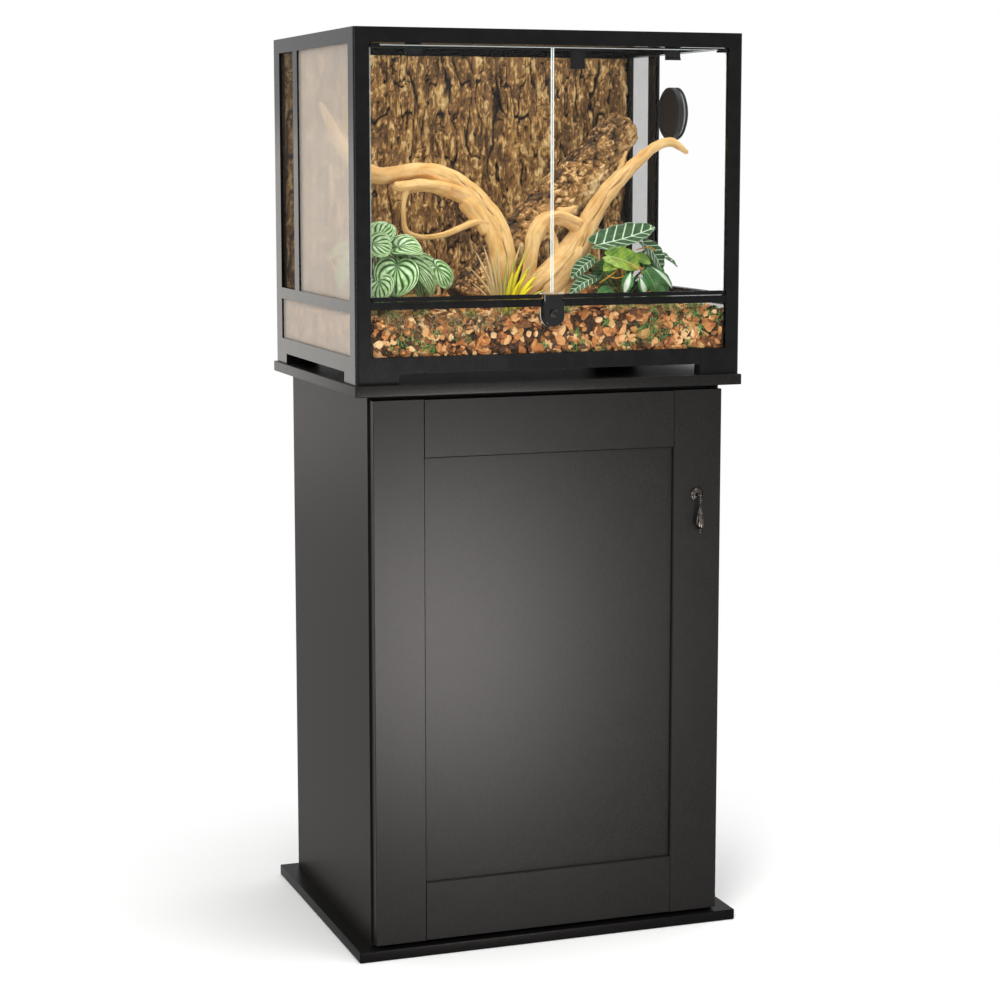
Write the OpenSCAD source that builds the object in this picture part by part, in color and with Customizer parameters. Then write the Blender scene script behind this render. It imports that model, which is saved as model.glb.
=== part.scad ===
// Front-opening glass terrarium on a cabinet stand, with its planted layout.
// Millimetres. The floor is z = 0, the front faces -Y, and the origin is under
// the middle of the stand's base board.

/* [Stand] */
// Width of the base and top boards
board_w = 614; // [600:1:800]
// Depth of the base and top boards
board_d = 472; // [465:1:620]
// Thickness of the base and top boards
board_t = 16; // [12:1:25]
// Height of the stand
stand_h = 862; // [600:1:1000]
// Width over the side panels
body_w = 562; // [480:1:596]
// Thickness of the side panels, the shelf and the stretcher
panel_t = 16; // [14:1:22]
// How far the body's back stands inside the board's back edge
back_inset = 23; // [5:1:60]
// Thickness of the back panel
back_t = 5; // [3:0.5:8]
// Depth of the grooves that hold the back panel
back_groove = 6; // [3:0.5:9]
// Height of the shelf's underside above the floor
shelf_z = 430; // [200:1:560]
// Play between the shelf and the side panels, each side
shelf_play = 0.5; // [0.3:0.1:2]
// Setback of the shelf's front edge behind the door
shelf_setback = 20; // [5:1:60]
// Height of the stretcher under the top board
stretcher_h = 70; // [40:1:120]
// Diameter of the shelf pins and their holes
shelf_pin_d = 5; // [4:0.5:8]
// Spacing of the shelf pin holes
pin_pitch = 32; // [20:1:64]
// Depth of the shelf pin holes
pin_hole_depth = 9; // [6:0.5:11]

/* [Cabinet door] */
// Gap between the base board and the door
door_gap_low = 4.5; // [2:0.5:10]
// Gap between the door and the top board
door_gap_high = 6.5; // [2:0.5:12]
// Reveal of the side panels beside the door, each side
door_reveal = 3; // [1:0.5:8]
// Setback of the door's face behind the board's front edge
door_setback = 10; // [2:0.5:14]
// Thickness of the door's frame
door_t = 18; // [16:1:24]
// Air gap between the door and the side panels
door_air = 2; // [1:0.5:4]
// Width of the stiles
stile_w = 79; // [60:1:110]
// Height of the top rail
rail_top_h = 87; // [60:1:120]
// Height of the bottom rail
rail_low_h = 90; // [60:1:120]
// Recess of the panel behind the door's face
panel_recess = 7; // [4:0.5:8]
// Thickness of the door's panel
door_panel_t = 6; // [4:0.5:7]
// Depth of the panel groove in the frame
panel_groove = 9; // [5:0.5:12]
// Chamfer along the frame's inner edges
frame_chamfer = 1.5; // [0.5:0.25:3]
// Diameter of the hinge cups
cup_d = 35; // [26:1:40]
// Depth of the hinge cups
cup_depth = 11.5; // [9:0.5:13]
// Distance from the door's edge to the cup's centre
cup_in = 22.5; // [21.5:0.5:26]
// Distance from the door's ends to the hinges
hinge_end = 110; // [80:1:200]

/* [Drop pull] */
// Height of the pull's pivot above the floor
pull_z = 679; // [550:1:750]
// Diameter of the rosette
rosette_d = 22; // [16:0.5:30]
// How far the rosette stands out
rosette_out = 13; // [9:0.5:18]
// Length of the drop from its pivot to its tip
drop_l = 60; // [45:1:80]
// Largest diameter of the drop
drop_d = 13; // [10:0.5:18]
// Number of flutes round the drop
drop_flutes = 8; // [5:1:12]
// Diameter of the cross pin
pull_pin_d = 3; // [2:0.25:4]
// Play of the drop on the cross pin, each side
pull_play = 0.06; // [0.03:0.01:0.1]

/* [Tank] */
// Width of the tank
tank_w = 610; // [560:1:700]
// Depth of the tank
tank_d = 457; // [400:1:520]
// Height of the tank
tank_h = 513; // [440:1:700]
// How far the tank stands right of the stand's middle
tank_shift_x = 3; // [-10:1:10]
// How far the tank stands behind the stand's middle
tank_shift_y = 6; // [0:1:10]
// Radius of the frame's outer corners
corner_r = 5; // [2:0.5:5]
// Thickness of the frame's posts and walls
frame_t = 9; // [8.5:0.25:12]
// Thickness of the fixed panes
pane_t = 4; // [3:0.5:5]
// How far the panes sit behind the frame's faces
pane_inset = 3; // [2:0.25:3]
// How deep the panes sit in their grooves
pane_bite = 4; // [3:0.5:5]
// Play of the panes in their grooves, each side
pane_play = 0.1; // [0.05:0.05:0.3]
// Height of the base frame
base_h = 40; // [34:1:60]
// Height of the gap under the base rails
slot_h = 16; // [10:1:20]
// Thickness of the ledge under the bottom pane
ledge_t = 4; // [3:0.5:6]
// Thickness of the bottom pane
bottom_t = 5; // [4:0.5:8]
// Width of the base and top rails in plan
rail_w = 22; // [20:1:28]
// Length of a base corner block along the front
corner_l = 65; // [45:1:90]
// Length of a base corner block along the side
corner_s = 62; // [45:1:90]
// Width of the posts seen from the front
post_w = 23; // [19:1:30]
// Depth of the front posts seen from the side
post_front_d = 30; // [22:1:40]
// Depth of the back posts seen from the side
post_back_d = 37; // [24:1:45]
// Height of the front transom's underside above the tank's foot
transom_z = 109; // [90:1:150]
// Height of the front transom
transom_h = 11; // [10:0.5:16]
// Depth of the front transom
transom_d = 20; // [18:1:26]
// Height of the side transoms' underside above the tank's foot
side_transom_z = 103.5; // [85:0.5:150]
// Height of the side transoms
side_transom_h = 17.5; // [12:0.5:24]
// Distance of the mullions' middle behind the tank's middle
mullion_y = 96; // [40:1:140]
// Width of the mullions
mullion_w = 26; // [16:1:32]
// Height of the top frame
top_h = 22; // [18:1:30]
// Thickness of the vent screens
screen_t = 1; // [0.8:0.1:2]

/* [Glass doors] */
// Thickness of the glass doors
door_glass_t = 4; // [3:0.5:5]
// Gap between the two glass doors
door_meet = 1.6; // [1:0.1:3]
// Distance from the post to a door's pivot
pivot_in = 3.5; // [3.2:0.1:5]
// Distance from the tank's face to a door's pivot
pivot_back = 3.6; // [3.4:0.1:4.5]
// Diameter of the pivot pins
pivot_d = 4; // [3:0.5:4]
// Play of the pivot pins in their sockets, each side
pivot_play = 0.05; // [0.02:0.01:0.1]
// Length of the pivot pins
pivot_l = 5.5; // [4:0.5:6]
// Height of a door's foot strip
strip_h = 6; // [5:0.5:10]
// Thickness of a door's foot strip
strip_t = 7.5; // [6.5:0.25:9]
// Gap over and under the doors
door_clear = 1; // [0.5:0.1:2]

/* [Lock] */
// Width of the lock's housing
lock_w = 34; // [28:1:44]
// Height of the lock's lowest point above the tank's foot
lock_z = 79; // [60:1:84]
// How far the lock stands out in front of the frame
lock_out = 3.5; // [2.5:0.25:6]
// Diameter of the keyed knob
knob_d = 12; // [10:0.5:13]
// Width of the sliding bar
bar_w = 30; // [24:1:34]
// Height of the sliding bar
bar_h = 10; // [8:0.5:12]
// Travel of the sliding bar
bar_travel = 8; // [5:0.5:8]

/* [Screen lid] */
// Width of the lid's frame bars
lid_bar_w = 22; // [16:1:28]
// Thickness of the lid's frame
lid_t = 9; // [6:0.5:10]
// Width of the rebate that the lid lies in, left standing outside it
lid_rim = 14; // [10:1:16]
// Play of the lid in its rebate, each side
lid_play = 0.5; // [0.3:0.1:1.5]
// Distance of the clips from the middle
clip_x = 205; // [120:1:230]
// Width of a clip
clip_w = 24; // [14:1:36]
// How far the clips hang under the lid
clip_drop = 30; // [15:1:40]

/* [Cable port] */
// Distance of the port behind the tank's middle
port_y = 10.5; // [-60:0.5:30]
// Height of the port above the tank's foot
port_z = 397; // [250:1:410]
// Diameter of the port's flange
port_d = 83; // [60:1:100]
// Thickness of the port's inner flange
port_flange_t = 10; // [4:0.5:14]

/* [Layout] */
// Depth of the substrate over the bottom pane at the front
soil_d = 66; // [30:1:78]
// Rise of the substrate towards the back and the right
soil_rise = 18; // [0:1:30]
// Thickness of the bark background in front of the back posts
bark_t = 16; // [10:1:24]
// Number of fluted ridges across the bark background
bark_ridges = 26; // [12:1:34]
// Number of blades in the grass tuft
blade_count = 20; // [10:1:30]

/* [Hidden] */
$fn = 48;
eps = 0.01;

// Stand
body_back_y = board_d / 2 - back_inset;
door_y0 = -board_d / 2 + door_setback;
door_y1 = door_y0 + door_t;
body_front_y = door_y1 + door_air;
side_x = body_w / 2;
inner_x = side_x - panel_t;
side_h = stand_h - 2 * board_t;
back_panel_y = body_back_y - 2 - back_t;
pin_rows_y = [body_front_y + 37, back_panel_y - 45];
catch_z = pull_z + 60;
tab_t = 2;

// Cabinet door
door_x0 = -side_x + door_reveal;
door_x1 = side_x - door_reveal;
door_w = door_x1 - door_x0;
door_z0 = board_t + door_gap_low;
door_z1 = stand_h - board_t - door_gap_high;
door_h = door_z1 - door_z0;
cup_play = 0.1;
arm_w = 0.51 * cup_d;
cup_x = door_x0 + cup_in;
hinge_zs = [door_z0 + hinge_end, door_z1 - hinge_end];
tongue_play = 0.5;
pull_x = door_x1 - stile_w / 2;
pull_axis_y = door_y0 - rosette_out;
ear_gap = 4.4;

// Tank
half_w = tank_w / 2;
half_d = tank_d / 2;
pane_in = pane_inset - pane_play;
pane_out = pane_inset + pane_t + pane_play;
top_z = tank_h - top_h;
transom_top = transom_z + transom_h;
side_transom_top = side_transom_z + side_transom_h;
side_transom_d = transom_d - 8;
bottom_top = slot_h + ledge_t + bottom_t;
lid_z = tank_h - lid_t - 1;
mullion_y0 = mullion_y - mullion_w / 2;
mullion_y1 = mullion_y + mullion_w / 2;
front_leg_y = -half_d + post_front_d;
back_leg_y = half_d - post_back_d;
screen_x = half_w - pane_inset - pane_t / 2;

// Glass doors, measured from the pivot at the left post
hinge_x = -(half_w - post_w - pivot_in);
hinge_y = -half_d + pivot_back;
glass_front = -half_d + 3.9;
strip_front = -half_d + 2.1;
strip_z = transom_top + door_clear;
glass_z0 = strip_z + strip_h - 3.5;
glass_z1 = top_z - door_clear - 2;
lock_notch = lock_w / 2 + 0.5;

// Lock, measured back from the housing's face
lock_face = -half_d - lock_out;
lock_r = lock_w / 2;
lock_mid_z = lock_z + lock_r;
lock_top = transom_top - 3.5;
lock_back = 15.5;
lock_wall = 2.4;
disc_t = 1.6;
stem_t = 2.2;
stem_w = 20;
stem_face = lock_wall + disc_t + 0.4;
knob_z = lock_mid_z + 3;
knob_play = 0.05;
crank_r = bar_travel / 2 / sin(45);
crank_pin_d = 3;
bar_z = lock_top + 0.3;
bar_t = 5.5;
foot_t = 2;

// Port
sleeve_r = port_d / 2 - 3.6;
plug_r = sleeve_r - 4;
plug_play = 0.08;

// Layout: routes are drawn as shares of the planting space, [x, y, z, radius]
// with x and y from -1 to 1 and z from the substrate (0) to the top frame (1)
soil_z = bottom_top + soil_d;
room_x = half_w - pane_inset - pane_t;
room_y = half_d - pane_inset - pane_t;
bark_front_y = back_leg_y + 11.5 - 1;
plant_s = (top_z - soil_z) / 400;
function spot(p) = [p[0] * room_x, p[1] * room_y, soil_z + p[2] * (top_z - soil_z)];
left_trunk = [[-0.07, -0.30, -0.02, 21], [-0.04, -0.28, 0.17, 20], [-0.06, -0.24, 0.27, 18],
    [-0.12, -0.22, 0.365, 16], [-0.23, -0.19, 0.44, 15], [-0.36, -0.17, 0.50, 14],
    [-0.47, -0.16, 0.535, 14], [-0.59, -0.16, 0.52, 13], [-0.71, -0.17, 0.505, 13],
    [-0.82, -0.14, 0.55, 13], [-0.87, -0.03, 0.625, 11], [-0.89, 0.11, 0.695, 10],
    [-0.91, 0.19, 0.755, 8], [-0.93, 0.28, 0.80, 4]];
left_splinter = [[-0.28, -0.23, 0.42, 9], [-0.38, -0.25, 0.453, 9], [-0.49, -0.26, 0.473, 8],
    [-0.58, -0.27, 0.47, 8], [-0.66, -0.28, 0.471, 6]];
left_twig = [[-0.61, -0.27, 0.463, 4], [-0.62, -0.29, 0.377, 4], [-0.61, -0.30, 0.311, 4.5],
    [-0.54, -0.30, 0.272, 5], [-0.42, -0.30, 0.262, 5], [-0.29, -0.29, 0.288, 6],
    [-0.19, -0.26, 0.318, 8], [-0.10, -0.24, 0.305, 10]];
right_limb = [[0.19, -0.34, -0.01, 15], [0.28, -0.33, 0.171, 15], [0.38, -0.33, 0.278, 15],
    [0.45, -0.34, 0.397, 14], [0.53, -0.36, 0.505, 12], [0.60, -0.37, 0.569, 10],
    [0.69, -0.39, 0.613, 9], [0.77, -0.40, 0.645, 9], [0.83, -0.42, 0.661, 8],
    [0.89, -0.42, 0.641, 6], [0.93, -0.43, 0.61, 3]];
right_spur_low = [[0.56, -0.36, 0.513, 7], [0.57, -0.38, 0.585, 5], [0.59, -0.40, 0.657, 2.5]];
right_spur_high = [[0.59, -0.35, 0.569, 7], [0.66, -0.33, 0.621, 5], [0.71, -0.31, 0.653, 2.5]];
right_foot = [[0.28, -0.33, 0.148, 14], [0.17, -0.35, 0.118, 12], [0.06, -0.38, 0.093, 10],
    [-0.02, -0.41, 0.02, 9]];
right_loop = [[0.39, -0.33, 0.298, 10], [0.29, -0.32, 0.33, 11], [0.21, -0.31, 0.371, 12],
    [0.14, -0.31, 0.332, 11], [0.10, -0.33, 0.261, 9], [0.07, -0.34, 0.191, 6],
    [0.08, -0.36, 0.136, 6], [0.15, -0.37, 0.103, 7]];
right_spine = [[0.25, -0.31, 0.355, 8], [0.31, -0.30, 0.394, 5], [0.34, -0.29, 0.417, 2.5]];
cork_route = [[-0.11, 0.26, 0.02, 36], [0.02, 0.30, 0.144, 34], [0.22, 0.38, 0.305, 33],
    [0.45, 0.46, 0.447, 32], [0.67, 0.52, 0.58, 30], [0.83, 0.55, 0.685, 27]];

// Leaves: [x, y, z] as shares, then turn, droop angle, roll, length, width, curl
striped_leaves = [
    [[-0.73, -0.66, 0.21], -84, 72, 0, 66, 60, 0.16],
    [[-0.84, -0.62, 0.25], 20, -30, -40, 60, 44, 0.20],
    [[-0.74, -0.58, 0.285], -16, 12, -35, 66, 48, 0.22],
    [[-0.85, -0.70, 0.16], -110, 58, 10, 52, 46, 0.18],
    [[-0.66, -0.55, 0.235], -34, 52, -20, 66, 40, 0.22],
    [[-0.50, -0.44, 0.19], -20, 48, -40, 46, 26, 0.25],
    [[-0.88, -0.55, 0.30], 100, -10, 20, 52, 40, 0.20],
    [[-0.86, -0.20, 0.20], 60, 10, -10, 56, 40, 0.22],
    [[-0.86, 0.02, 0.16], -60, 20, 10, 52, 38, 0.22],
    [[-0.83, 0.15, 0.24], 120, -20, 0, 54, 36, 0.20]];
striped_stems = [
    [[-0.80, -0.57, -0.02, 4], [-0.79, -0.60, 0.12, 2.5], [-0.73, -0.66, 0.21, 2]],
    [[-0.80, -0.57, -0.02, 4], [-0.84, -0.60, 0.14, 2.5], [-0.84, -0.62, 0.25, 2]],
    [[-0.80, -0.57, -0.02, 4], [-0.76, -0.56, 0.16, 2.5], [-0.74, -0.58, 0.285, 2]],
    [[-0.80, -0.57, -0.02, 4], [-0.84, -0.66, 0.10, 2.5], [-0.85, -0.70, 0.16, 2]],
    [[-0.80, -0.57, -0.02, 4], [-0.70, -0.54, 0.14, 2.5], [-0.66, -0.55, 0.235, 2]],
    [[-0.80, -0.57, -0.02, 4], [-0.60, -0.48, 0.13, 2.5], [-0.50, -0.44, 0.19, 2]],
    [[-0.80, -0.57, -0.02, 4], [-0.88, -0.54, 0.16, 2.5], [-0.88, -0.55, 0.30, 2]],
    [[-0.82, -0.06, -0.01, 4], [-0.85, -0.15, 0.12, 2.5], [-0.86, -0.20, 0.20, 2]],
    [[-0.82, -0.06, -0.01, 4], [-0.85, -0.02, 0.09, 2.5], [-0.86, 0.02, 0.16, 2]],
    [[-0.82, -0.06, -0.01, 4], [-0.82, 0.08, 0.12, 2.5], [-0.83, 0.15, 0.24, 2]],
    [[-0.80, -0.57, -0.02, 4], [-0.82, -0.32, 0.03, 3], [-0.82, -0.06, -0.01, 4]]];
vein_leaves = [
    [[0.50, -0.42, 0.235], 6, -22, -52, 92, 50, 0.12],
    [[0.60, -0.48, 0.19], -12, 24, -45, 84, 40, 0.26],
    [[0.78, -0.46, 0.20], -28, 48, -20, 84, 22, 0.22],
    [[0.64, -0.58, 0.12], -70, 62, 10, 50, 24, 0.20],
    [[0.76, -0.60, 0.11], -50, 66, -15, 50, 24, 0.20],
    [[0.42, -0.36, 0.12], -160, 30, 20, 60, 34, 0.24],
    [[0.70, -0.10, 0.20], 40, -20, -10, 62, 34, 0.22],
    [[0.48, -0.15, 0.19], 150, 5, 0, 60, 32, 0.24]];
vein_stems = [
    [[0.60, -0.26, 0.05, 4], [0.54, -0.34, 0.20, 2.5], [0.50, -0.42, 0.235, 2]],
    [[0.60, -0.26, 0.05, 4], [0.60, -0.40, 0.17, 2.5], [0.60, -0.48, 0.19, 2]],
    [[0.60, -0.26, 0.05, 4], [0.74, -0.38, 0.19, 2.5], [0.78, -0.46, 0.20, 2]],
    [[0.60, -0.26, 0.05, 4], [0.63, -0.46, 0.12, 2.5], [0.64, -0.58, 0.12, 2]],
    [[0.60, -0.26, 0.05, 4], [0.72, -0.48, 0.12, 2.5], [0.76, -0.60, 0.11, 2]],
    [[0.60, -0.26, 0.05, 4], [0.48, -0.32, 0.12, 2.5], [0.42, -0.36, 0.12, 2]],
    [[0.60, -0.22, 0.05, 4], [0.68, -0.14, 0.16, 2.5], [0.70, -0.10, 0.20, 2]],
    [[0.60, -0.22, 0.05, 4], [0.52, -0.17, 0.16, 2.5], [0.48, -0.15, 0.19, 2]]];
ball_spot = [0.62, -0.22, 0.03];
ball_r = 36;
grass_foot = [-0.16, -0.56, -0.01];

frame_black = "#1b1b1d";
laminate_black = "#2b2a29";
glass_tint = [0.80, 0.88, 0.86, 0.35];
pewter = "#4a4846";
wood_tan = "#d8b27a";

// ---------- helpers ----------

module both_sides() {
    children();
    mirror([1, 0, 0]) children();
}

module in_tank() translate([tank_shift_x, tank_shift_y, stand_h]) children();

// A profile drawn as [depth behind the face, height], run along the front
module along_front(l) translate([-l / 2, -half_d, 0]) rotate([90, 0, 90]) linear_extrude(l) children();

// The same, run along the back
module along_back(l) mirror([0, 1, 0]) along_front(l) children();

// A profile drawn as [depth behind the left face, height], run from y0 to y1
module along_left(y0, y1) translate([-half_w, y1, 0]) rotate([90, 0, 0]) linear_extrude(y1 - y0) children();

// Plan of an angle with legs a and b, wall t and a round outer corner at 0, 0
module angle_plan(a, b, t, r) {
    translate([r, r]) circle(r);
    translate([r, 0]) square([a - r, t]);
    translate([0, r]) square([t, b - r]);
}

// A pane groove that opens upwards, as a cut in a profile
module groove_up(z) translate([pane_in, z - pane_bite]) square([pane_out - pane_in, pane_bite + eps]);

// A pane groove that opens downwards
module groove_down(z) translate([pane_in, z - eps]) square([pane_out - pane_in, pane_bite + eps]);

// A run of rounded segments through the route's points
module limb(route, sides) {
    for (i = [0 : len(route) - 2])
        hull() {
            translate(spot(route[i])) sphere(route[i][3] * plant_s, $fn = sides);
            translate(spot(route[i + 1])) sphere(route[i + 1][3] * plant_s, $fn = sides);
        }
}

// Half width of a leaf at share u of its length: broad near the stalk, drawn to a tip
function leaf_half(u) = 0.04 + 0.96 * pow(sin(180 * pow(u, 0.62)), 0.8);

// A thin leaf along +X from its stalk, folded along its midrib and curled downwards
module leaf(l, w, curl, t = 0.9) {
    nu = 8;
    nv = 4;
    function pt(i, j, s) = let (u = i / nu, v = 2 * j / nv - 1,
        half = min(leaf_half(u), 1) * w / 2)
        [u * l * (1 - 0.25 * curl * u), v * half,
         0.12 * half * abs(v) - curl * l * u * u + s * t / 2];
    top = [for (i = [0 : nu]) for (j = [0 : nv]) pt(i, j, 1)];
    low = [for (i = [0 : nu]) for (j = [0 : nv]) pt(i, j, -1)];
    n = (nu + 1) * (nv + 1);
    function at(i, j) = i * (nv + 1) + j;
    sides = concat(
        [for (i = [0 : nu - 1]) each [[at(i, 0), at(i, 0) + n, at(i + 1, 0) + n],
            [at(i, 0), at(i + 1, 0) + n, at(i + 1, 0)]]],
        [for (i = [0 : nu - 1]) each [[at(i, nv), at(i + 1, nv) + n, at(i, nv) + n],
            [at(i, nv), at(i + 1, nv), at(i + 1, nv) + n]]],
        [for (j = [0 : nv - 1]) each [[at(0, j), at(0, j + 1) + n, at(0, j) + n],
            [at(0, j), at(0, j + 1), at(0, j + 1) + n]]],
        [for (j = [0 : nv - 1]) each [[at(nu, j), at(nu, j) + n, at(nu, j + 1) + n],
            [at(nu, j), at(nu, j + 1) + n, at(nu, j + 1)]]]);
    faces = concat(
        [for (i = [0 : nu - 1]) for (j = [0 : nv - 1]) each [
            [at(i, j), at(i + 1, j), at(i + 1, j + 1)], [at(i, j), at(i + 1, j + 1), at(i, j + 1)]]],
        [for (i = [0 : nu - 1]) for (j = [0 : nv - 1]) each [
            [n + at(i, j), n + at(i + 1, j + 1), n + at(i + 1, j)],
            [n + at(i, j), n + at(i, j + 1), n + at(i + 1, j + 1)]]],
        sides);
    polyhedron(points = concat(top, low), faces = [for (f = faces) [f[2], f[1], f[0]]]);
}

module leaves(list) {
    for (s = list)
        translate(spot(s[0])) rotate([s[3], s[2], s[1]]) scale(plant_s) leaf(s[4], s[5], s[6]);
}

module stems(list) {
    for (route = list) limb(route, 6);
}

// A flat net: one plate with rows and columns of square gaps
module net_plan(w, h, nx, ny, wire) {
    px = w / nx;
    py = h / ny;
    holes = [for (i = [0 : nx - 1]) for (j = [0 : ny - 1])
        let (x0 = i * px + wire / 2, x1 = (i + 1) * px - wire / 2,
             y0 = j * py + wire / 2, y1 = (j + 1) * py - wire / 2)
        each [[x0, y0], [x1, y0], [x1, y1], [x0, y1]]];
    polygon(points = concat([[0, 0], [w, 0], [w, h], [0, h]], holes),
        paths = concat([[0, 1, 2, 3]], [for (k = [0 : nx * ny - 1]) [for (m = [0 : 3]) 4 + 4 * k + m]]));
}

// ---------- stand ----------

module board(z) translate([-board_w / 2, -board_d / 2, z]) cube([board_w, board_d, board_t]);

module base_board() color(laminate_black) board(0);

module top_board() color(laminate_black) board(stand_h - board_t);

// Right side panel, with the back panel's groove and two rows of shelf pin holes
module side_panel_plain() {
    difference() {
        translate([inner_x, body_front_y, board_t]) cube([panel_t, body_back_y - body_front_y, side_h]);
        translate([inner_x - eps, back_panel_y, board_t - eps])
            cube([back_groove + eps, back_t, side_h + 2 * eps]);
        for (y = pin_rows_y, k = [-2 : 2])
            translate([inner_x, y, shelf_z - tab_t - shelf_pin_d / 2 + k * pin_pitch])
                rotate([0, 90, 0]) translate([0, 0, -eps])
                    cylinder(d = shelf_pin_d + 0.1, h = pin_hole_depth + eps);
    }
}

module side_panel_right() color(laminate_black) side_panel_plain();

module side_panel_left() color(laminate_black) mirror([1, 0, 0]) side_panel_plain();

module back_panel() color(laminate_black)
    translate([-inner_x - back_groove, back_panel_y, board_t])
        cube([2 * (inner_x + back_groove), back_t, side_h]);

module shelf() color(laminate_black)
    translate([-inner_x + shelf_play, body_front_y + shelf_setback, shelf_z])
        cube([2 * (inner_x - shelf_play), back_panel_y - body_front_y - shelf_setback, panel_t]);

module shelf_pins() color("silver")
    both_sides() for (y = pin_rows_y) {
        translate([inner_x - 8, y, shelf_z - tab_t - shelf_pin_d / 2]) rotate([0, 90, 0])
            cylinder(d = shelf_pin_d, h = pin_hole_depth + 8 - 0.5);
        translate([inner_x - 12, y - 5, shelf_z - tab_t]) cube([12, 10, tab_t]);
        translate([inner_x - 2, y - 5, shelf_z - tab_t - shelf_pin_d]) cube([2, 10, shelf_pin_d]);
    }

module front_stretcher() color(laminate_black)
    translate([-inner_x, body_front_y + 2, stand_h - board_t - stretcher_h])
        cube([2 * inner_x, panel_t, stretcher_h]);

// Two arms on the left side panel, each reaching into its cup
module hinge_arms() color("silver")
    for (z = hinge_zs) translate([-inner_x, 0, z]) {
        translate([0, body_front_y + 0.74 * cup_d, -0.69 * cup_d]) cube([3, 1.14 * cup_d, 1.38 * cup_d]);
        translate([0, 0, -arm_w / 2]) linear_extrude(arm_w) polygon([
            [3, body_front_y + 1.7 * cup_d], [3, body_front_y + 0.85 * cup_d], [4, body_front_y + 6],
            [4.5, door_y1 - 4.5], [14, door_y1 - 4.5], [15, body_front_y + 8],
            [13, body_front_y + 1.7 * cup_d]]);
    }

module door_catch() color("#1f1f1f")
    translate([inner_x - 28, door_y1 + 1.8, catch_z - 8]) {
        translate([0, 1.2, 0]) cube([28, 40, 16]);
        translate([4, 0, 3]) cube([16, 2, 10]);
    }

// ---------- cabinet door ----------

// Section of a stile, drawn with its outer edge at 0 and its face at 0
module stile_section(w) {
    difference() {
        polygon([[0.8, 0], [w - frame_chamfer, 0], [w, frame_chamfer], [w, door_t], [0, door_t], [0, 0.8]]);
        translate([w - panel_groove, panel_recess]) square([panel_groove + eps, door_panel_t]);
    }
}

module door_stile_left() color(laminate_black)
    difference() {
        translate([door_x0, door_y0, door_z0]) linear_extrude(door_h) stile_section(stile_w);
        for (z = hinge_zs) translate([cup_x, door_y1 - cup_depth - 0.3, z]) rotate([-90, 0, 0])
            cylinder(d = cup_d + 2 * cup_play, h = cup_depth + 1);
    }

module door_stile_right() color(laminate_black)
    translate([door_x1, door_y0, door_z0]) mirror([1, 0, 0]) linear_extrude(door_h) stile_section(stile_w);

// A rail lies between the stiles with a stub tenon at each end
module rail(h) {
    l = door_w - 2 * stile_w;
    translate([door_x0 + stile_w, door_y0, 0]) rotate([90, 0, 90]) linear_extrude(l)
        difference() {
            polygon([[0, 0.8], [0.8, 0], [door_t, 0], [door_t, h], [frame_chamfer, h], [0, h - frame_chamfer]]);
            translate([panel_recess, h - panel_groove]) square([door_panel_t, panel_groove + eps]);
        }
    translate([door_x0 + stile_w - panel_groove + tongue_play, door_y0 + panel_recess, 0])
        cube([l + 2 * (panel_groove - tongue_play), door_panel_t, h - panel_groove]);
}

module door_rail_bottom() color(laminate_black) translate([0, 0, door_z0]) rail(rail_low_h);

module door_rail_top() color(laminate_black) translate([0, 0, door_z1]) mirror([0, 0, 1]) rail(rail_top_h);

module door_panel() color(laminate_black)
    translate([door_x0 + stile_w - panel_groove + tongue_play, door_y0 + panel_recess,
            door_z0 + rail_low_h - panel_groove])
        cube([door_w - 2 * (stile_w - panel_groove + tongue_play), door_panel_t,
            door_h - rail_low_h - rail_top_h + 2 * panel_groove - tongue_play]);

module hinge_cups() color("silver")
    for (z = hinge_zs) translate([cup_x, door_y1, z]) rotate([-90, 0, 0])
        difference() {
            union() {
                translate([0, 0, -cup_depth]) cylinder(d = cup_d, h = cup_depth);
                linear_extrude(1.2) {
                    circle(d = cup_d + 3);
                    for (s = [-1, 1]) translate([2, s * 22]) circle(d = 13);
                    translate([-4.5, -22]) square([13, 44]);
                }
            }
            translate([0, 0, 1 - cup_depth]) cylinder(d = cup_d - 2, h = cup_depth + 1);
            for (s = [-1, 1]) translate([2, s * 23, -eps]) cylinder(d = 4, h = 2);
        }

module strike_plate() color("silver")
    translate([inner_x - 28, door_y1, catch_z - 8]) cube([24, 1.5, 16]);

// Domed rosette with two ears that carry the cross pin
module pull_rosette() color(pewter) translate([pull_x, door_y0, pull_z]) {
    difference() {
        union() {
            rotate([90, 0, 0]) rotate_extrude() polygon([[0, 0], [rosette_d / 2, 0], [rosette_d / 2, 1.2],
                [rosette_d / 2 - 1.2, 2.2], [rosette_d / 2 - 1.6, 2.8], [rosette_d * 0.36, 4.2],
                [rosette_d * 0.27, 5.4], [rosette_d * 0.2, 6.2], [0, 6.8]]);
            rotate([90, 0, 0]) cylinder(d = 9.6, h = rosette_out);
            translate([-4.8, -rosette_out, 0]) rotate([0, 90, 0]) cylinder(d = 7, h = 9.6);
        }
        translate([-ear_gap / 2, -rosette_out - 6, -8]) cube([ear_gap, rosette_out + 6 - 7.2, 16]);
    }
    translate([-4.8, -rosette_out, 0]) rotate([0, 90, 0]) cylinder(d = pull_pin_d, h = 9.6);
}

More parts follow.
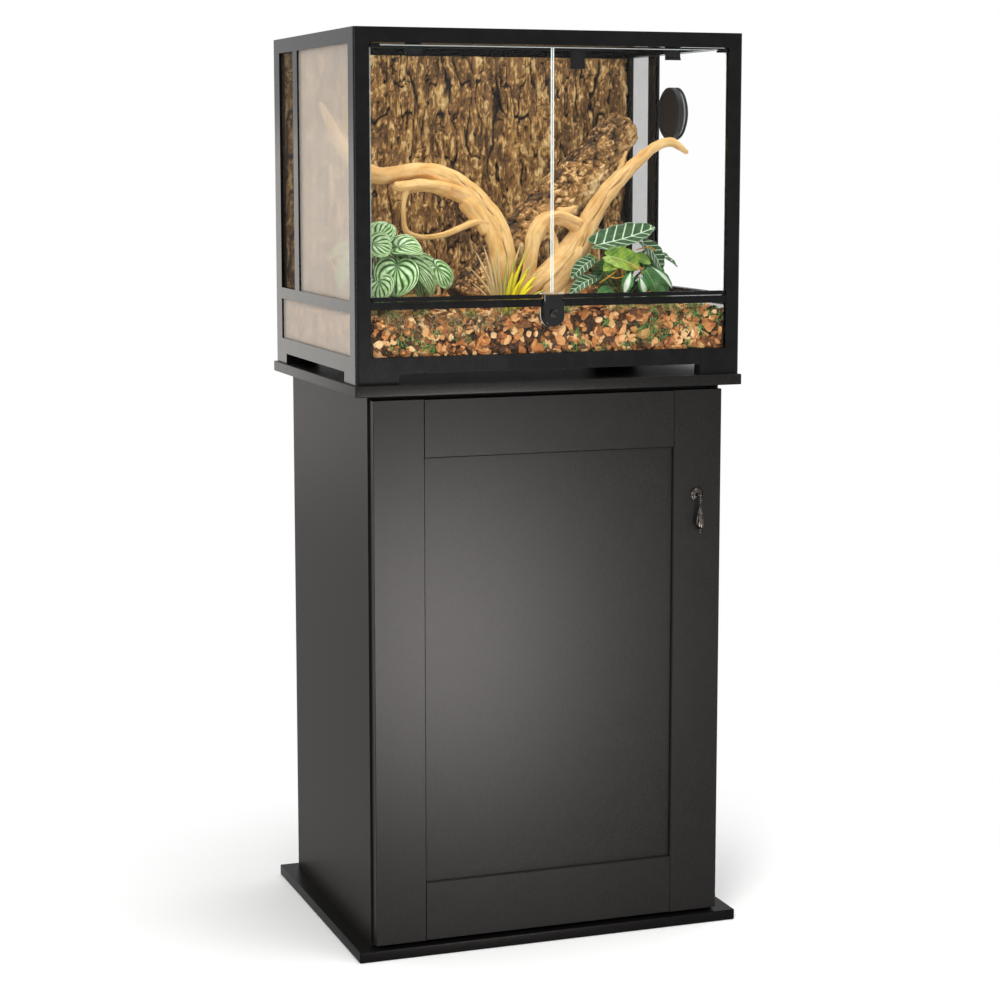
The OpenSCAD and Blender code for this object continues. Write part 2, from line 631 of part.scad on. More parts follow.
// Hanging drop: an eye on the pin, a neck, a fluted pear and a bead at the tip
module pull_drop() color(pewter) translate([pull_x, pull_axis_y, pull_z]) {
    eye_t = ear_gap - 0.6;
    pear_top = -0.42 * drop_l;
    pear_low = -0.86 * drop_l;
    difference() {
        union() {
            translate([-eye_t / 2, 0, 0]) rotate([0, 90, 0]) cylinder(d = pull_pin_d + 3.2, h = eye_t);
            translate([-eye_t / 2, -1.3, -8]) cube([eye_t, 2.6, 6.5]);
        }
        translate([-5, 0, 0]) rotate([0, 90, 0]) cylinder(r = pull_pin_d / 2 + pull_play, h = 10);
    }
    difference() {
        rotate_extrude() polygon([[0, -6.5], [2, -6.8], [2.6, -8.5], [1.7, -10.5], [1.6, -13],
            [drop_d * 0.2, pear_top + 6], [drop_d * 0.32, pear_top],
            [drop_d * 0.43, pear_top * 0.5 + pear_low * 0.5],
            [drop_d / 2, pear_low + 5], [drop_d * 0.46, pear_low + 2], [drop_d * 0.3, pear_low],
            [1.6, pear_low - 1.2], [1.5, pear_low - 2.4], [2.5, -drop_l + 3.6], [2.6, -drop_l + 2.2],
            [0, -drop_l]]);
        for (k = [0 : drop_flutes - 1]) rotate([0, 0, k * 360 / drop_flutes])
            translate([drop_d / 2 + 0.9, 0, pear_low + 3.5]) rotate([0, -6.5, 0]) cylinder(r = 1.5, h = 18);
    }
}

// ---------- tank frame ----------

// One corner block of the base, at the front left
module base_corner() translate([-half_w, -half_d, 0])
    difference() {
        linear_extrude(base_h) angle_plan(corner_l, corner_s, rail_w, corner_r);
        translate([frame_t, frame_t, slot_h + ledge_t]) cube([corner_l, corner_s, base_h]);
        translate([post_w - pane_bite, pane_in, base_h - pane_bite]) cube([corner_l, pane_out - pane_in, base_h]);
        translate([pane_in, post_w - pane_bite, base_h - pane_bite]) cube([pane_out - pane_in, corner_s, base_h]);
    }

module base_corners() color(frame_black) in_tank()
    both_sides() { base_corner(); mirror([0, 1, 0]) base_corner(); }

module base_profile() difference() {
    polygon([[0, slot_h], [rail_w, slot_h], [rail_w, slot_h + ledge_t], [frame_t, slot_h + ledge_t],
        [frame_t, base_h], [0, base_h]]);
    groove_up(base_h);
}

module base_rails_long() color(frame_black) in_tank() {
    along_front(tank_w - 2 * corner_l) base_profile();
    along_back(tank_w - 2 * corner_l) base_profile();
}

module base_rails_short() color(frame_black) in_tank()
    both_sides() along_left(-half_d + corner_s, half_d - corner_s) base_profile();

module bottom_pane() color(glass_tint) in_tank()
    translate([-half_w + frame_t + pane_play, -half_d + frame_t + pane_play, slot_h + ledge_t])
        cube([tank_w - 2 * (frame_t + pane_play), tank_d - 2 * (frame_t + pane_play), bottom_t]);

// Front left post: an angle, grooved for the side pane and for the low front pane
module post_front() translate([-half_w, -half_d, 0])
    difference() {
        translate([0, 0, base_h]) linear_extrude(top_z - base_h) angle_plan(post_w, post_front_d, frame_t, corner_r);
        translate([pane_in, post_front_d - pane_bite, base_h - 1]) cube([pane_out - pane_in, pane_bite + 1, tank_h]);
        translate([post_w - pane_bite, pane_in, base_h - 1])
            cube([pane_bite + 1, pane_out - pane_in, transom_z - base_h + pane_bite + 1]);
    }

module posts_front() color(frame_black) in_tank() both_sides() post_front();

// Back left post, drawn at the front and turned over
module post_back() mirror([0, 1, 0]) translate([-half_w, -half_d, 0])
    difference() {
        translate([0, 0, base_h]) linear_extrude(top_z - base_h) angle_plan(post_w, post_back_d, frame_t, corner_r);
        translate([pane_in, post_back_d - pane_bite, base_h - 1]) cube([pane_out - pane_in, pane_bite + 1, tank_h]);
        translate([post_w - pane_bite, pane_in, base_h - 1]) cube([pane_bite + 1, pane_out - pane_in, tank_h]);
    }

module posts_back() color(frame_black) in_tank() both_sides() post_back();

// One corner block of the top frame, with the lid's rebate and the panes' grooves
module top_corner(front) translate([-half_w, -half_d, 0])
    difference() {
        translate([0, 0, top_z]) linear_extrude(top_h) union() {
            translate([corner_r, corner_r]) circle(corner_r);
            translate([corner_r, 0]) square([post_w - corner_r, post_w]);
            translate([0, corner_r]) square([corner_r + eps, post_w - corner_r]);
        }
        translate([lid_rim, lid_rim, lid_z]) cube([post_w, post_w, top_h]);
        translate([pane_in, post_w - pane_bite, top_z - eps]) cube([pane_out - pane_in, pane_bite + 1, pane_bite + eps]);
        if (!front)
            translate([post_w - pane_bite, pane_in, top_z - eps]) cube([pane_bite + 1, pane_out - pane_in, pane_bite + eps]);
    }

module top_corners() color(frame_black) in_tank()
    both_sides() { top_corner(true); mirror([0, 1, 0]) top_corner(false); }

module top_profile() polygon([[0, top_z], [rail_w, top_z], [rail_w, lid_z], [lid_rim, lid_z],
    [lid_rim, tank_h], [0, tank_h]]);

// The front rail has a socket for each door's upper pivot
module top_rail_front() color(frame_black) in_tank()
    difference() {
        along_front(tank_w - 2 * post_w) top_profile();
        both_sides() translate([hinge_x, hinge_y, top_z - eps])
            cylinder(r = pivot_d / 2 + pivot_play, h = pivot_l + 1.5);
    }

module top_rail_back() color(frame_black) in_tank()
    along_back(tank_w - 2 * post_w) difference() { top_profile(); groove_down(top_z); }

module top_rails_side() color(frame_black) in_tank()
    both_sides() along_left(-half_d + post_w, half_d - post_w) difference() { top_profile(); groove_down(top_z); }

// The front transom has a nose, a groove under it, pivot sockets and a seat for the lock
module transom_front() color(frame_black) in_tank()
    difference() {
        along_front(tank_w - 2 * post_w) difference() {
            polygon([[0, transom_top], [0, transom_top - 3.4], [0.5, transom_top - 3.9], [0.5, transom_z],
                [transom_d, transom_z], [transom_d, transom_top]]);
            groove_down(transom_z);
        }
        both_sides() translate([hinge_x, hinge_y, transom_top - pivot_l - 0.5])
            cylinder(r = pivot_d / 2 + pivot_play, h = pivot_l + 1);
        translate([-lock_r - 0.2, -half_d - 1, transom_z - 1])
            cube([lock_w + 0.4, lock_back - lock_out + 1, transom_h + 2]);
    }

module side_transom() along_left(front_leg_y, back_leg_y)
    difference() {
        translate([0, side_transom_z]) square([side_transom_d, side_transom_h]);
        groove_down(side_transom_z);
        groove_up(side_transom_top);
    }

module transoms_side() color(frame_black) in_tank() both_sides() side_transom();

module mullion() translate([-half_w, mullion_y, side_transom_top])
    linear_extrude(top_z - side_transom_top) difference() {
        translate([0, -mullion_w / 2]) square([frame_t, mullion_w]);
        for (s = [-1, 1]) translate([pane_in, s * (mullion_w / 2 - pane_bite / 2 + 0.5) - pane_bite / 2 - 0.5])
            square([pane_out - pane_in, pane_bite + 1]);
    }

module mullions() color(frame_black) in_tank() both_sides() mullion();

// ---------- panes and vents ----------

// A pane in the left wall between two lines and two heights
module left_pane(y0, y1, z0, z1) translate([-half_w + pane_inset, y0, z0]) cube([pane_t, y1 - y0, z1 - z0]);

module low_pane_front() color(glass_tint) in_tank()
    difference() {
        translate([-half_w + post_w - pane_bite, -half_d + pane_inset, base_h - pane_bite])
            cube([tank_w - 2 * (post_w - pane_bite), pane_t, transom_z - base_h + 2 * pane_bite]);
        translate([0, -half_d, lock_mid_z]) rotate([-90, 0, 0]) cylinder(r = lock_r + 1.5, h = rail_w);
        translate([-lock_r - 1.5, -half_d, lock_mid_z]) cube([lock_w + 3, rail_w, base_h]);
    }

module low_panes_side() color(glass_tint) in_tank()
    both_sides() left_pane(front_leg_y - pane_bite, back_leg_y + pane_bite, base_h - pane_bite,
        side_transom_z + pane_bite);

module upper_pane_plain() left_pane(front_leg_y - pane_bite, mullion_y0 + pane_bite,
    side_transom_top - pane_bite, top_z + pane_bite);

module side_pane_left() color(glass_tint) in_tank() upper_pane_plain();

module side_pane_right() color(glass_tint) in_tank()
    difference() {
        mirror([1, 0, 0]) upper_pane_plain();
        translate([half_w - rail_w, port_y, port_z]) rotate([0, 90, 0]) cylinder(r = sleeve_r + 0.1, h = rail_w + 1);
    }

module back_pane() color(glass_tint) in_tank()
    translate([-half_w + post_w - pane_bite, half_d - pane_inset - pane_t, base_h - pane_bite])
        cube([tank_w - 2 * (post_w - pane_bite), pane_t, top_z - base_h + 2 * pane_bite]);

module vent_screen() {
    y0 = mullion_y1 - pane_bite;
    w = back_leg_y + pane_bite - y0;
    h = top_z - side_transom_top + 2 * pane_bite;
    translate([-screen_x - screen_t / 2, y0, side_transom_top - pane_bite])
        rotate([90, 0, 90]) linear_extrude(screen_t) net_plan(w, h, 7, 30, 2.4);
}

module vent_screens() color("#8d8a86") in_tank() both_sides() vent_screen();

// ---------- glass doors ----------

// Everything of a door is drawn at the left and mirrored for the right
module door_glass() {
    x0 = hinge_x - 1.5;
    translate([0, glass_front, 0]) rotate([90, 0, 0]) mirror([0, 0, 1]) linear_extrude(door_glass_t)
        polygon([[x0, glass_z0], [-lock_notch, glass_z0], [-lock_notch, strip_z + strip_h + 1],
            [-door_meet / 2, strip_z + strip_h + 1], [-door_meet / 2, glass_z1], [x0, glass_z1]]);
}

module glass_slot(z0, z1) translate([hinge_x - 10, glass_front - pane_play, z0])
    cube([tank_w / 2, door_glass_t + 2 * pane_play, z1 - z0]);

module door_foot() {
    difference() {
        union() {
            translate([hinge_x, strip_front, strip_z]) cube([-lock_notch - hinge_x, strip_t, strip_h]);
            translate([hinge_x, hinge_y, strip_z]) cylinder(r = 3, h = strip_h);
        }
        glass_slot(glass_z0, strip_z + strip_h + 1);
    }
    translate([hinge_x, hinge_y, strip_z - pivot_l]) cylinder(d = pivot_d, h = pivot_l + eps);
}

module door_pivot() {
    cap_h = 6;
    difference() {
        union() {
            translate([hinge_x, hinge_y, glass_z1 + 2 - cap_h]) cylinder(r = 2.9, h = cap_h);
            translate([hinge_x, hinge_y - 1.4, glass_z1 + 2 - cap_h]) cube([13, door_glass_t + 3, cap_h]);
        }
        glass_slot(0, glass_z1);
    }
    translate([hinge_x, hinge_y, glass_z1 + 2 - eps]) cylinder(d = pivot_d, h = pivot_l + door_clear);
}

module left_door_glass() color(glass_tint) in_tank() door_glass();

module left_door_foot() color(frame_black) in_tank() door_foot();

module left_door_pivot() color(frame_black) in_tank() door_pivot();

module right_door_glass() color(glass_tint) in_tank() mirror([1, 0, 0]) door_glass();

module right_door_foot() color(frame_black) in_tank() mirror([1, 0, 0]) door_foot();

module right_door_pivot() color(frame_black) in_tank() mirror([1, 0, 0]) door_pivot();

// ---------- lock ----------

// Face of the housing: a shield with a round foot, drawn as [x, z]
module shield(r) {
    translate([0, lock_mid_z]) circle(r);
    translate([-r, lock_mid_z]) square([2 * r, lock_top - lock_mid_z]);
}

// Solid between two depths behind the housing's face, from a plan drawn as [x, z]
module lock_layer(q0, q1) translate([0, lock_face + q0, 0]) rotate([90, 0, 0]) mirror([0, 0, 1])
    linear_extrude(q1 - q0) children();

module lock_housing() color(frame_black) in_tank()
    difference() {
        union() {
            lock_layer(1.2, lock_back) shield(lock_r);
            lock_layer(0, 1.2) shield(lock_r - 1.4);
        }
        translate([-stem_w / 2 - 1.3, lock_face + lock_wall, knob_z - 13])
            cube([stem_w + 2.6, stem_face - lock_wall + stem_t + 1.8, 60]);
        translate([0, lock_face - 1, knob_z]) rotate([-90, 0, 0])
            cylinder(r = knob_d / 2 + knob_play, h = lock_wall + 2);
    }

// Keyed knob with its crank disc and pin behind the housing's face
module lock_knob() color(pewter) in_tank() translate([0, lock_face, knob_z]) {
    difference() {
        translate([0, -3, 0]) rotate([-90, 0, 0]) cylinder(d = knob_d, h = lock_wall + 0.2 + 3);
        translate([0, -3 - eps, 0]) rotate([-90, 0, 0]) difference() {
            cylinder(d = knob_d - 2.6, h = 0.8);
            translate([0, 0, -1]) cylinder(d = knob_d - 5, h = 3);
        }
        translate([-0.8, -3 - eps, -2.6]) cube([1.6, 2, 5.2]);
    }
    translate([0, lock_wall + 0.2, 0]) rotate([-90, 0, 0]) cylinder(d = knob_d + 3.6, h = disc_t);
    translate([crank_r * cos(45), lock_wall + 0.2, -crank_r * sin(45)]) rotate([-90, 0, 0])
        cylinder(d = crank_pin_d, h = disc_t + 4);
}

// Sliding bar on a flat stem, with the slot that the crank pin drives
module lock_bar() color(frame_black) in_tank() {
    difference() {
        lock_layer(0, bar_t) translate([-bar_w / 2, bar_z]) square([bar_w, bar_h]);
        for (s = [-1, 1]) translate([s * bar_w / 2, lock_face, bar_z - 1]) rotate([0, 0, 45])
            cube([1.6, 1.6, 3 * bar_h], center = true);
    }
    translate([-stem_w / 2, lock_face + bar_t - eps, bar_z])
        cube([stem_w, stem_face + stem_t - bar_t + eps, foot_t]);
    difference() {
        translate([-stem_w / 2, lock_face + stem_face, knob_z - 11])
            cube([stem_w, stem_t, bar_z + foot_t - knob_z + 11]);
        translate([1.2, lock_face + stem_face - 1, knob_z - bar_travel / 2 - crank_pin_d / 2 - 0.5])
            cube([7.2, stem_t + 2, crank_pin_d + 1]);
    }
}

// ---------- screen lid ----------

lid_x = half_w - lid_rim - lid_play;
lid_y = half_d - lid_rim - lid_play;

module lid_frame() color(frame_black) in_tank()
    difference() {
        translate([-lid_x, -lid_y, lid_z]) cube([2 * lid_x, 2 * lid_y, lid_t]);
        translate([-lid_x + lid_bar_w, -lid_y + lid_bar_w, lid_z - 1])
            cube([2 * (lid_x - lid_bar_w), 2 * (lid_y - lid_bar_w), lid_t + 2]);
        translate([-lid_x + lid_bar_w - 6, -lid_y + lid_bar_w - 6, lid_z + lid_t / 2 - 0.6])
            cube([2 * (lid_x - lid_bar_w + 6), 2 * (lid_y - lid_bar_w + 6), 1.2]);
    }

module lid_screen() color("#55524e") in_tank()
    translate([-lid_x + lid_bar_w - 6, -lid_y + lid_bar_w - 6, lid_z + lid_t / 2 - 0.6])
        linear_extrude(1.2) net_plan(2 * (lid_x - lid_bar_w + 6), 2 * (lid_y - lid_bar_w + 6), 16, 12, 3);

// Each clip is a leaf under the lid's bar with a thumb lip at its foot
module lid_clip() translate([clip_x, -lid_y + lid_bar_w, lid_z])
    rotate([90, 0, -90]) translate([0, 0, -clip_w / 2]) linear_extrude(clip_w)
        polygon([[0, 0], [14, 0], [14, -3], [4, -3], [3, -5], [3, -clip_drop + 4], [5, -clip_drop + 2],
            [5, -clip_drop], [0, -clip_drop]]);

module lid_clips() color(frame_black) in_tank()
    both_sides() { lid_clip(); mirror([0, 1, 0]) lid_clip(); }

// ---------- cable port ----------

module port_ring() color("#222222") in_tank() translate([half_w - pane_inset, port_y, port_z]) rotate([0, 90, 0])
    rotate_extrude() polygon([[plug_r, -pane_t - port_flange_t], [port_d / 2 - 1.5, -pane_t - port_flange_t],
        [port_d / 2, -pane_t - port_flange_t + 1.5], [port_d / 2, -pane_t], [sleeve_r, -pane_t], [sleeve_r, 0],
        [port_d / 2, 0], [port_d / 2, pane_inset - 1], [port_d / 2 - 1, pane_inset], [plug_r, pane_inset]]);

// A cup that slides into the ring, with a lip and a finger bar on its outside
module port_plug() color("#222222") in_tank() translate([half_w - pane_inset, port_y, port_z]) rotate([0, 90, 0]) {
    r = plug_r - plug_play;
    back = -pane_t - port_flange_t + 1;
    rotate_extrude() polygon([[0, back], [r - 1, back], [r, back + 1], [r, pane_inset], [plug_r + 2.5, pane_inset],
        [plug_r + 2.5, pane_inset + 2.2], [r - 2.5, pane_inset + 2.2], [r - 2.5, back + 2.5], [0, back + 2.5]]);
    translate([-4, -r + 2, back + 2.5 - eps]) cube([8, 2 * r - 4, 8]);
}

// ---------- layout ----------

// Ridges of the bark at share u across its width
function ridge(u) = 2.6 * sin(360 * bark_ridges * u / 2) + 1.5 * sin(360 * bark_ridges * 0.83 * u + 40)
    + 1.2 * sin(360 * 3.3 * u + 110);

// A slab of bark, fluted on its face; its back lies on the pane between the posts
module bark_background() color("#4d3a28") in_tank() {
    n = 6 * bark_ridges;
    wide = half_w - frame_t - 0.5;
    narrow = half_w - post_w - 0.5;
    step_y = half_d - frame_t - 0.5;
    face_y = half_d - frame_t - bark_t;
    rear_y = half_d - pane_inset - pane_t;
    translate([0, 0, bottom_top]) linear_extrude(top_z - bottom_top - 4) polygon(concat(
        [for (k = [0 : n]) [-wide + 2 * wide * k / n, face_y - ridge(k / n)]],
        [[wide, step_y], [-wide, step_y]]));
    translate([-narrow, step_y - eps, base_h + 1]) cube([2 * narrow, rear_y - step_y + eps, top_z - base_h - 5]);
}

// Height of the substrate at shares u and v of its width and depth
function soil_top(u, v) = soil_z + soil_rise * (0.45 * u + 0.55 * v)
    + 2.2 * sin(560 * u + 80) * sin(430 * v + 30) + 1.6 * sin(1010 * u) * sin(890 * v + 120);

module substrate() {
    nx = 22;
    ny = 14;
    x0 = -half_w + side_transom_d + 0.3;
    x1 = -x0;
    y0 = lock_face + lock_back + 0.4;
    y1 = half_d - frame_t - bark_t - 7;
    n = (nx + 1) * (ny + 1);
    function at(i, j) = i * (ny + 1) + j;
    function px(i) = x0 + (x1 - x0) * i / nx;
    function py(j) = y0 + (y1 - y0) * j / ny;
    top = [for (i = [0 : nx]) for (j = [0 : ny]) [px(i), py(j), soil_top(i / nx, j / ny)]];
    low = [[x0, y0, bottom_top], [x1, y0, bottom_top], [x1, y1, bottom_top], [x0, y1, bottom_top]];
    color("#8a5a30") in_tank() polyhedron(points = concat(top, low), faces = concat(
        [for (i = [0 : nx - 1]) for (j = [0 : ny - 1]) each [
            [at(i, j + 1), at(i + 1, j + 1), at(i, j)], [at(i + 1, j + 1), at(i + 1, j), at(i, j)]]],
        [[n, n + 1, n + 2, n + 3]],
        [concat([for (i = [0 : nx]) at(i, 0)], [n + 1, n])],
        [concat([for (j = [0 : ny]) at(nx, j)], [n + 2, n + 1])],
        [concat([for (i = [nx : -1 : 0]) at(i, ny)], [n + 3, n + 2])],
        [concat([for (j = [ny : -1 : 0]) at(0, j)], [n, n + 3])]));
}

// A knobbly log: rings of lumpy radius carried along the route
module cork_log() {
    sides = 16;
    per = 4;
    m = len(cork_route) - 1;
    function lerp(a, b, t) = a + (b - a) * t;
    function mid(s) = let (i = min(floor(s), m - 1), t = s - i) lerp(spot(cork_route[i]), spot(cork_route[i + 1]), t);
    function rad(s) = let (i = min(floor(s), m - 1), t = s - i) lerp(cork_route[i][3], cork_route[i + 1][3], t);
    axis = spot(cork_route[m]) - spot(cork_route[0]);
    w = axis / norm(axis);
    a = cross(w, [0, 1, 0]) / norm(cross(w, [0, 1, 0]));
    b = cross(w, a);
    function lump(k, j) = 1 + 0.07 * sin(k * 67 + j * 90) + 0.05 * sin(k * 131 - j * 160 + 40);
    rings = [for (k = [0 : m * per]) for (j = [0 : sides - 1])
        let (s = k / per, q = 360 * j / sides) mid(s) + rad(s) * lump(k, j) * (cos(q) * a + sin(q) * b)];
    n = m * per;
    function at(k, j) = k * sides + (j % sides);
    color("#6b4a2c") in_tank() polyhedron(points = rings, faces = concat(
        [for (k = [0 : n - 1]) for (j = [0 : sides - 1]) each [
            [at(k, j), at(k + 1, j), at(k + 1, j + 1)], [at(k, j), at(k + 1, j + 1), at(k, j + 1)]]],
        [[for (j = [0 : sides - 1]) at(0, j)]],
        [[for (j = [sides - 1 : -1 : 0]) at(n, j)]]));
}

module driftwood_left() color(wood_tan) in_tank() {
    limb(left_trunk, 10);
    limb(left_splinter, 8);
    limb(left_twig, 8);
}

module driftwood_right() color(wood_tan) in_tank() {
    limb(right_limb, 10);
    limb(right_foot, 8);
    limb(right_loop, 8);
    limb(right_spur_low, 6);
    limb(right_spur_high, 6);
    limb(right_spine, 6);
}

module striped_plant() color("#7fae6e") in_tank() {
    stems(striped_stems);
    leaves(striped_leaves);
}

// A grass blade: a three-sided spike that arches outwards
module blade(l, w, bend) {
    n = 4;
    rings = [for (k = [0 : n]) let (u = k / n, h = w * (1 - 0.85 * u) / 2) each [
        [bend * l * u * u, -h, l * u * (1 - 0.2 * bend * u)],
        [bend * l * u * u, h, l * u * (1 - 0.2 * bend * u)],
        [bend * l * u * u + 0.8, 0, l * u * (1 - 0.2 * bend * u)]]];
    polyhedron(points = rings, faces = concat(
        [for (k = [0 : n - 1]) for (j = [0 : 2]) each [
            [3 * k + j, 3 * k + 3 + (j + 1) % 3, 3 * k + 3 + j],
            [3 * k + j, 3 * k + (j + 1) % 3, 3 * k + 3 + (j + 1) % 3]]],
        [[2, 1, 0]], [[3 * n, 3 * n + 1, 3 * n + 2]]));
}

// The mossy ball that the vein-leaf plants grow from
module root_ball() color("#3b4a26") in_tank()
    hull() for (s = [-1, 1]) translate(spot(ball_spot) + [s * 8, 0, 0]) sphere(ball_r * plant_s, $fn = 14);

// Grass tuft and the vein-leaf plants
module ground_plants() color("#3f6b35") in_tank() {
    translate(spot(grass_foot)) scale([plant_s, plant_s, 1.3 * plant_s]) sphere(8, $fn = 10);
    for (k = [0 : blade_count - 1])
        translate(spot(grass_foot)) scale(plant_s) rotate([0, 0, k * 137.5])
            translate([3 + k % 4, 0, 0]) rotate([0, 8 + 26 * (k % 5) / 5, 0])
                blade(58 + 34 * ((k * 7) % 10) / 10, 5, 0.25 + 0.3 * (k % 3) / 3);
    stems(vein_stems);
    leaves(vein_leaves);
}

base_board();
top_board();
side_panel_left();
side_panel_right();
back_panel();
shelf();
shelf_pins();
front_stretcher();
hinge_arms();
door_catch();
door_stile_left();
door_stile_right();
door_rail_top();
door_rail_bottom();
door_panel();
hinge_cups();
strike_plate();
pull_rosette();
pull_drop();
base_corners();
base_rails_long();
base_rails_short();
bottom_pane();
posts_front();
posts_back();
top_corners();
top_rail_front();
top_rail_back();
top_rails_side();
transom_front();
transoms_side();
mullions();
low_pane_front();
low_panes_side();
side_pane_left();
side_pane_right();
back_pane();
vent_screens();
left_door_glass();
left_door_foot();
left_door_pivot();
right_door_glass();
right_door_foot();
right_door_pivot();
lock_housing();
lock_knob();
lock_bar();
lid_frame();
lid_screen();
lid_clips();
port_ring();
port_plug();
bark_background();
substrate();
cork_log();
driftwood_left();
driftwood_right();
striped_plant();
root_ball();
ground_plants();
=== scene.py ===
# Front-opening glass terrarium on its cabinet stand, dressed for rendering.
# Metres, floor at z = 0, front towards -Y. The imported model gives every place.
import bpy
import math
import numpy as np
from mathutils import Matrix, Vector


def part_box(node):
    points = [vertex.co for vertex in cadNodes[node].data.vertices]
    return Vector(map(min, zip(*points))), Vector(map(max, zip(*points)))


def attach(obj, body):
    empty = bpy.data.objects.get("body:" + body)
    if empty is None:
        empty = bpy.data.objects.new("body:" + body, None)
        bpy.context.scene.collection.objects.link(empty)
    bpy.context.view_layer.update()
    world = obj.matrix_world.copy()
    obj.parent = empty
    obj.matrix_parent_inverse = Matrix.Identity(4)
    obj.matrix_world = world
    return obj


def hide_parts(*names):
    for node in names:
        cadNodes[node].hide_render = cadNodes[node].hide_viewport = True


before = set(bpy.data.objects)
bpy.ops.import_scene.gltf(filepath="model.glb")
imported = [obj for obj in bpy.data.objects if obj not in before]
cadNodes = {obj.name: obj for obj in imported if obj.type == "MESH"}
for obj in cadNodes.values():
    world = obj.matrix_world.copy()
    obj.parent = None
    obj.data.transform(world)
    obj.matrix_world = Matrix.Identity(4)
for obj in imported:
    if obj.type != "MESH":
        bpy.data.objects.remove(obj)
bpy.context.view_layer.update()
mm = 0.001
tankFoot = np.array([0.003, 0.006, 0.862])      # the middle of the tank's foot

# The camera stands left of the front, at the height of the tank
print("camera")
camera = {"place": (-1.2561, -3.4833, 1.1953), "turn": 19.819, "tilt": -7.647, "lens": 84.78, "shiftY": -0.03}
cameraData = bpy.data.cameras.new("camera")
cameraData.lens = camera["lens"]
cameraData.sensor_width = 36
cameraData.shift_y = camera["shiftY"]
cameraObject = bpy.data.objects.new("camera", cameraData)
cameraObject.location = camera["place"]
cameraObject.rotation_euler = (math.radians(90 + camera["tilt"]), 0, math.radians(-camera["turn"]))
bpy.context.scene.collection.objects.link(cameraObject)
bpy.context.scene.camera = cameraObject


# A hex colour as the linear red, green, blue and 1 that shaders take
def tint(code):
    parts = [int(code[k:k + 2], 16) / 255 for k in (1, 3, 5)]
    return tuple(p / 12.92 if p < 0.04045 else ((p + 0.055) / 1.055) ** 2.4 for p in parts) + (1.0,)


# One output socket of a material. Arithmetic on it adds the Math nodes
class Signal:
    def __init__(self, finish, socket):
        self.finish, self.socket = finish, socket

    def join(self, operation, *others):
        return self.finish.node("Math", {"operation": operation}, dict(enumerate([self, *others])))

    def __add__(self, other): return self.join("ADD", other)
    def __sub__(self, other): return self.join("SUBTRACT", other)
    def __mul__(self, other): return self.join("MULTIPLY", other)
    def __pow__(self, other): return self.join("POWER", other)
    def __gt__(self, other): return self.join("GREATER_THAN", other)
    def __rmul__(self, other): return self * other
    def __rsub__(self, other): return (self * -1) + other
    def __abs__(self): return self.join("ABSOLUTE")
    def clip(self): return self.join("MINIMUM", 1).join("MAXIMUM", 0)

    # 0 below the first value, 1 above the second, smooth between them
    def rise(self, low, high):
        return self.finish.node("MapRange", {"interpolation_type": "SMOOTHSTEP"},
                                {0: self, 1: low, 2: high, 3: 0.0, 4: 1.0})


# The nodes of a new material, or of the world given as owner: one method that adds any node, and the
# patterns built on it
class Finish:
    def __init__(self, name, owner=None):
        self.owner = bpy.data.materials.new(name) if owner is None else owner
        self.owner.use_nodes = True
        self.tree = self.owner.node_tree
        self.tree.nodes.clear()

    def node(self, kind, settings=None, sockets=None, out=0):
        made = self.tree.nodes.new("ShaderNode" + kind)
        for key, value in (settings or {}).items():
            if key == "stops":
                while len(made.color_ramp.elements) < len(value):
                    made.color_ramp.elements.new(0.5)
                for element, (place, code) in zip(made.color_ramp.elements, value):
                    element.position = place
                    element.color = tint(code)
            else:
                setattr(made, key, value)
        for key, value in (sockets or {}).items():
            if isinstance(value, Signal):
                self.tree.links.new(value.socket, made.inputs[key])
            else:
                made.inputs[key].default_value = value
        return Signal(self, made.outputs[out] if len(made.outputs) else None)

    def mark(self, name, out=2):
        return self.node("Attribute", {"attribute_name": name}, out=out)

    def stretched(self, vector, x, y, z):
        return self.node("VectorMath", {"operation": "MULTIPLY"}, {0: vector, 1: (x, y, z)})

    # Place on the object, stretched by a factor along each axis
    def place(self, x=1.0, y=1.0, z=1.0):
        return self.stretched(self.node("TexCoord", out=3), x, y, z)

    # Runs up and down between 0 and a top value, for ribs and veins that repeat
    def pingPong(self, signal, top):
        return self.node("Math", {"operation": "PINGPONG"}, {0: signal, 1: top})

    # 1 for rays from the lens, off gloss and through glass, 0 for the light on the object
    def seen(self):
        camera, glossy, through = [self.node("LightPath", out=k) for k in (0, 3, 6)]
        return (camera + glossy + through).clip()

    def noise(self, where, scale, detail=4.0, rough=0.55):
        return self.node("TexNoise", {}, {"Vector": where, "Scale": scale, "Detail": detail,
                                          "Roughness": rough})

    def ramp(self, signal, *stops):
        return self.node("ValToRGB", {"stops": stops}, {0: signal})

    def blendColour(self, share, first, second):
        pair = [tint(c) if isinstance(c, str) else c for c in (first, second)]
        return self.node("Mix", {"data_type": "RGBA"}, {0: share, 6: pair[0], 7: pair[1]}, out=2)

    def bump(self, height, distance, strength=1.0):
        return self.node("Bump", {}, {"Height": height, "Distance": distance, "Strength": strength})

    def surface(self, sockets):
        return self.node("BsdfPrincipled", {}, sockets)

    def close(self, shader):
        self.node("OutputMaterial", {}, {"Surface": shader})
        return self.owner

    # A closed surface: its colour, roughness and specular level, then its relief's height, depth, strength
    def skin(self, colour, rough, specular, height, depth, strength):
        return self.close(self.surface({
            "Base Color": colour, "Roughness": rough, "Specular IOR Level": specular,
            "Normal": self.bump(height, depth, strength)}))


# Black wood-effect laminate with a fine leathery grain. Each board has its dark tone, pale tone and gloss;
# the deep tones are the same laminate made darker for the base board, painted shadow
laminate = {"grain": 460, "pores": 420, "mottle": 26, "relief": 0.00032,
            "black": ("#0f0e0d", "#1e1c1b", 0.09),
            "side": ("#13110f", "#211c19", 0.036),
            "deep": ("#060505", "#0e0d0c", 0.05)}


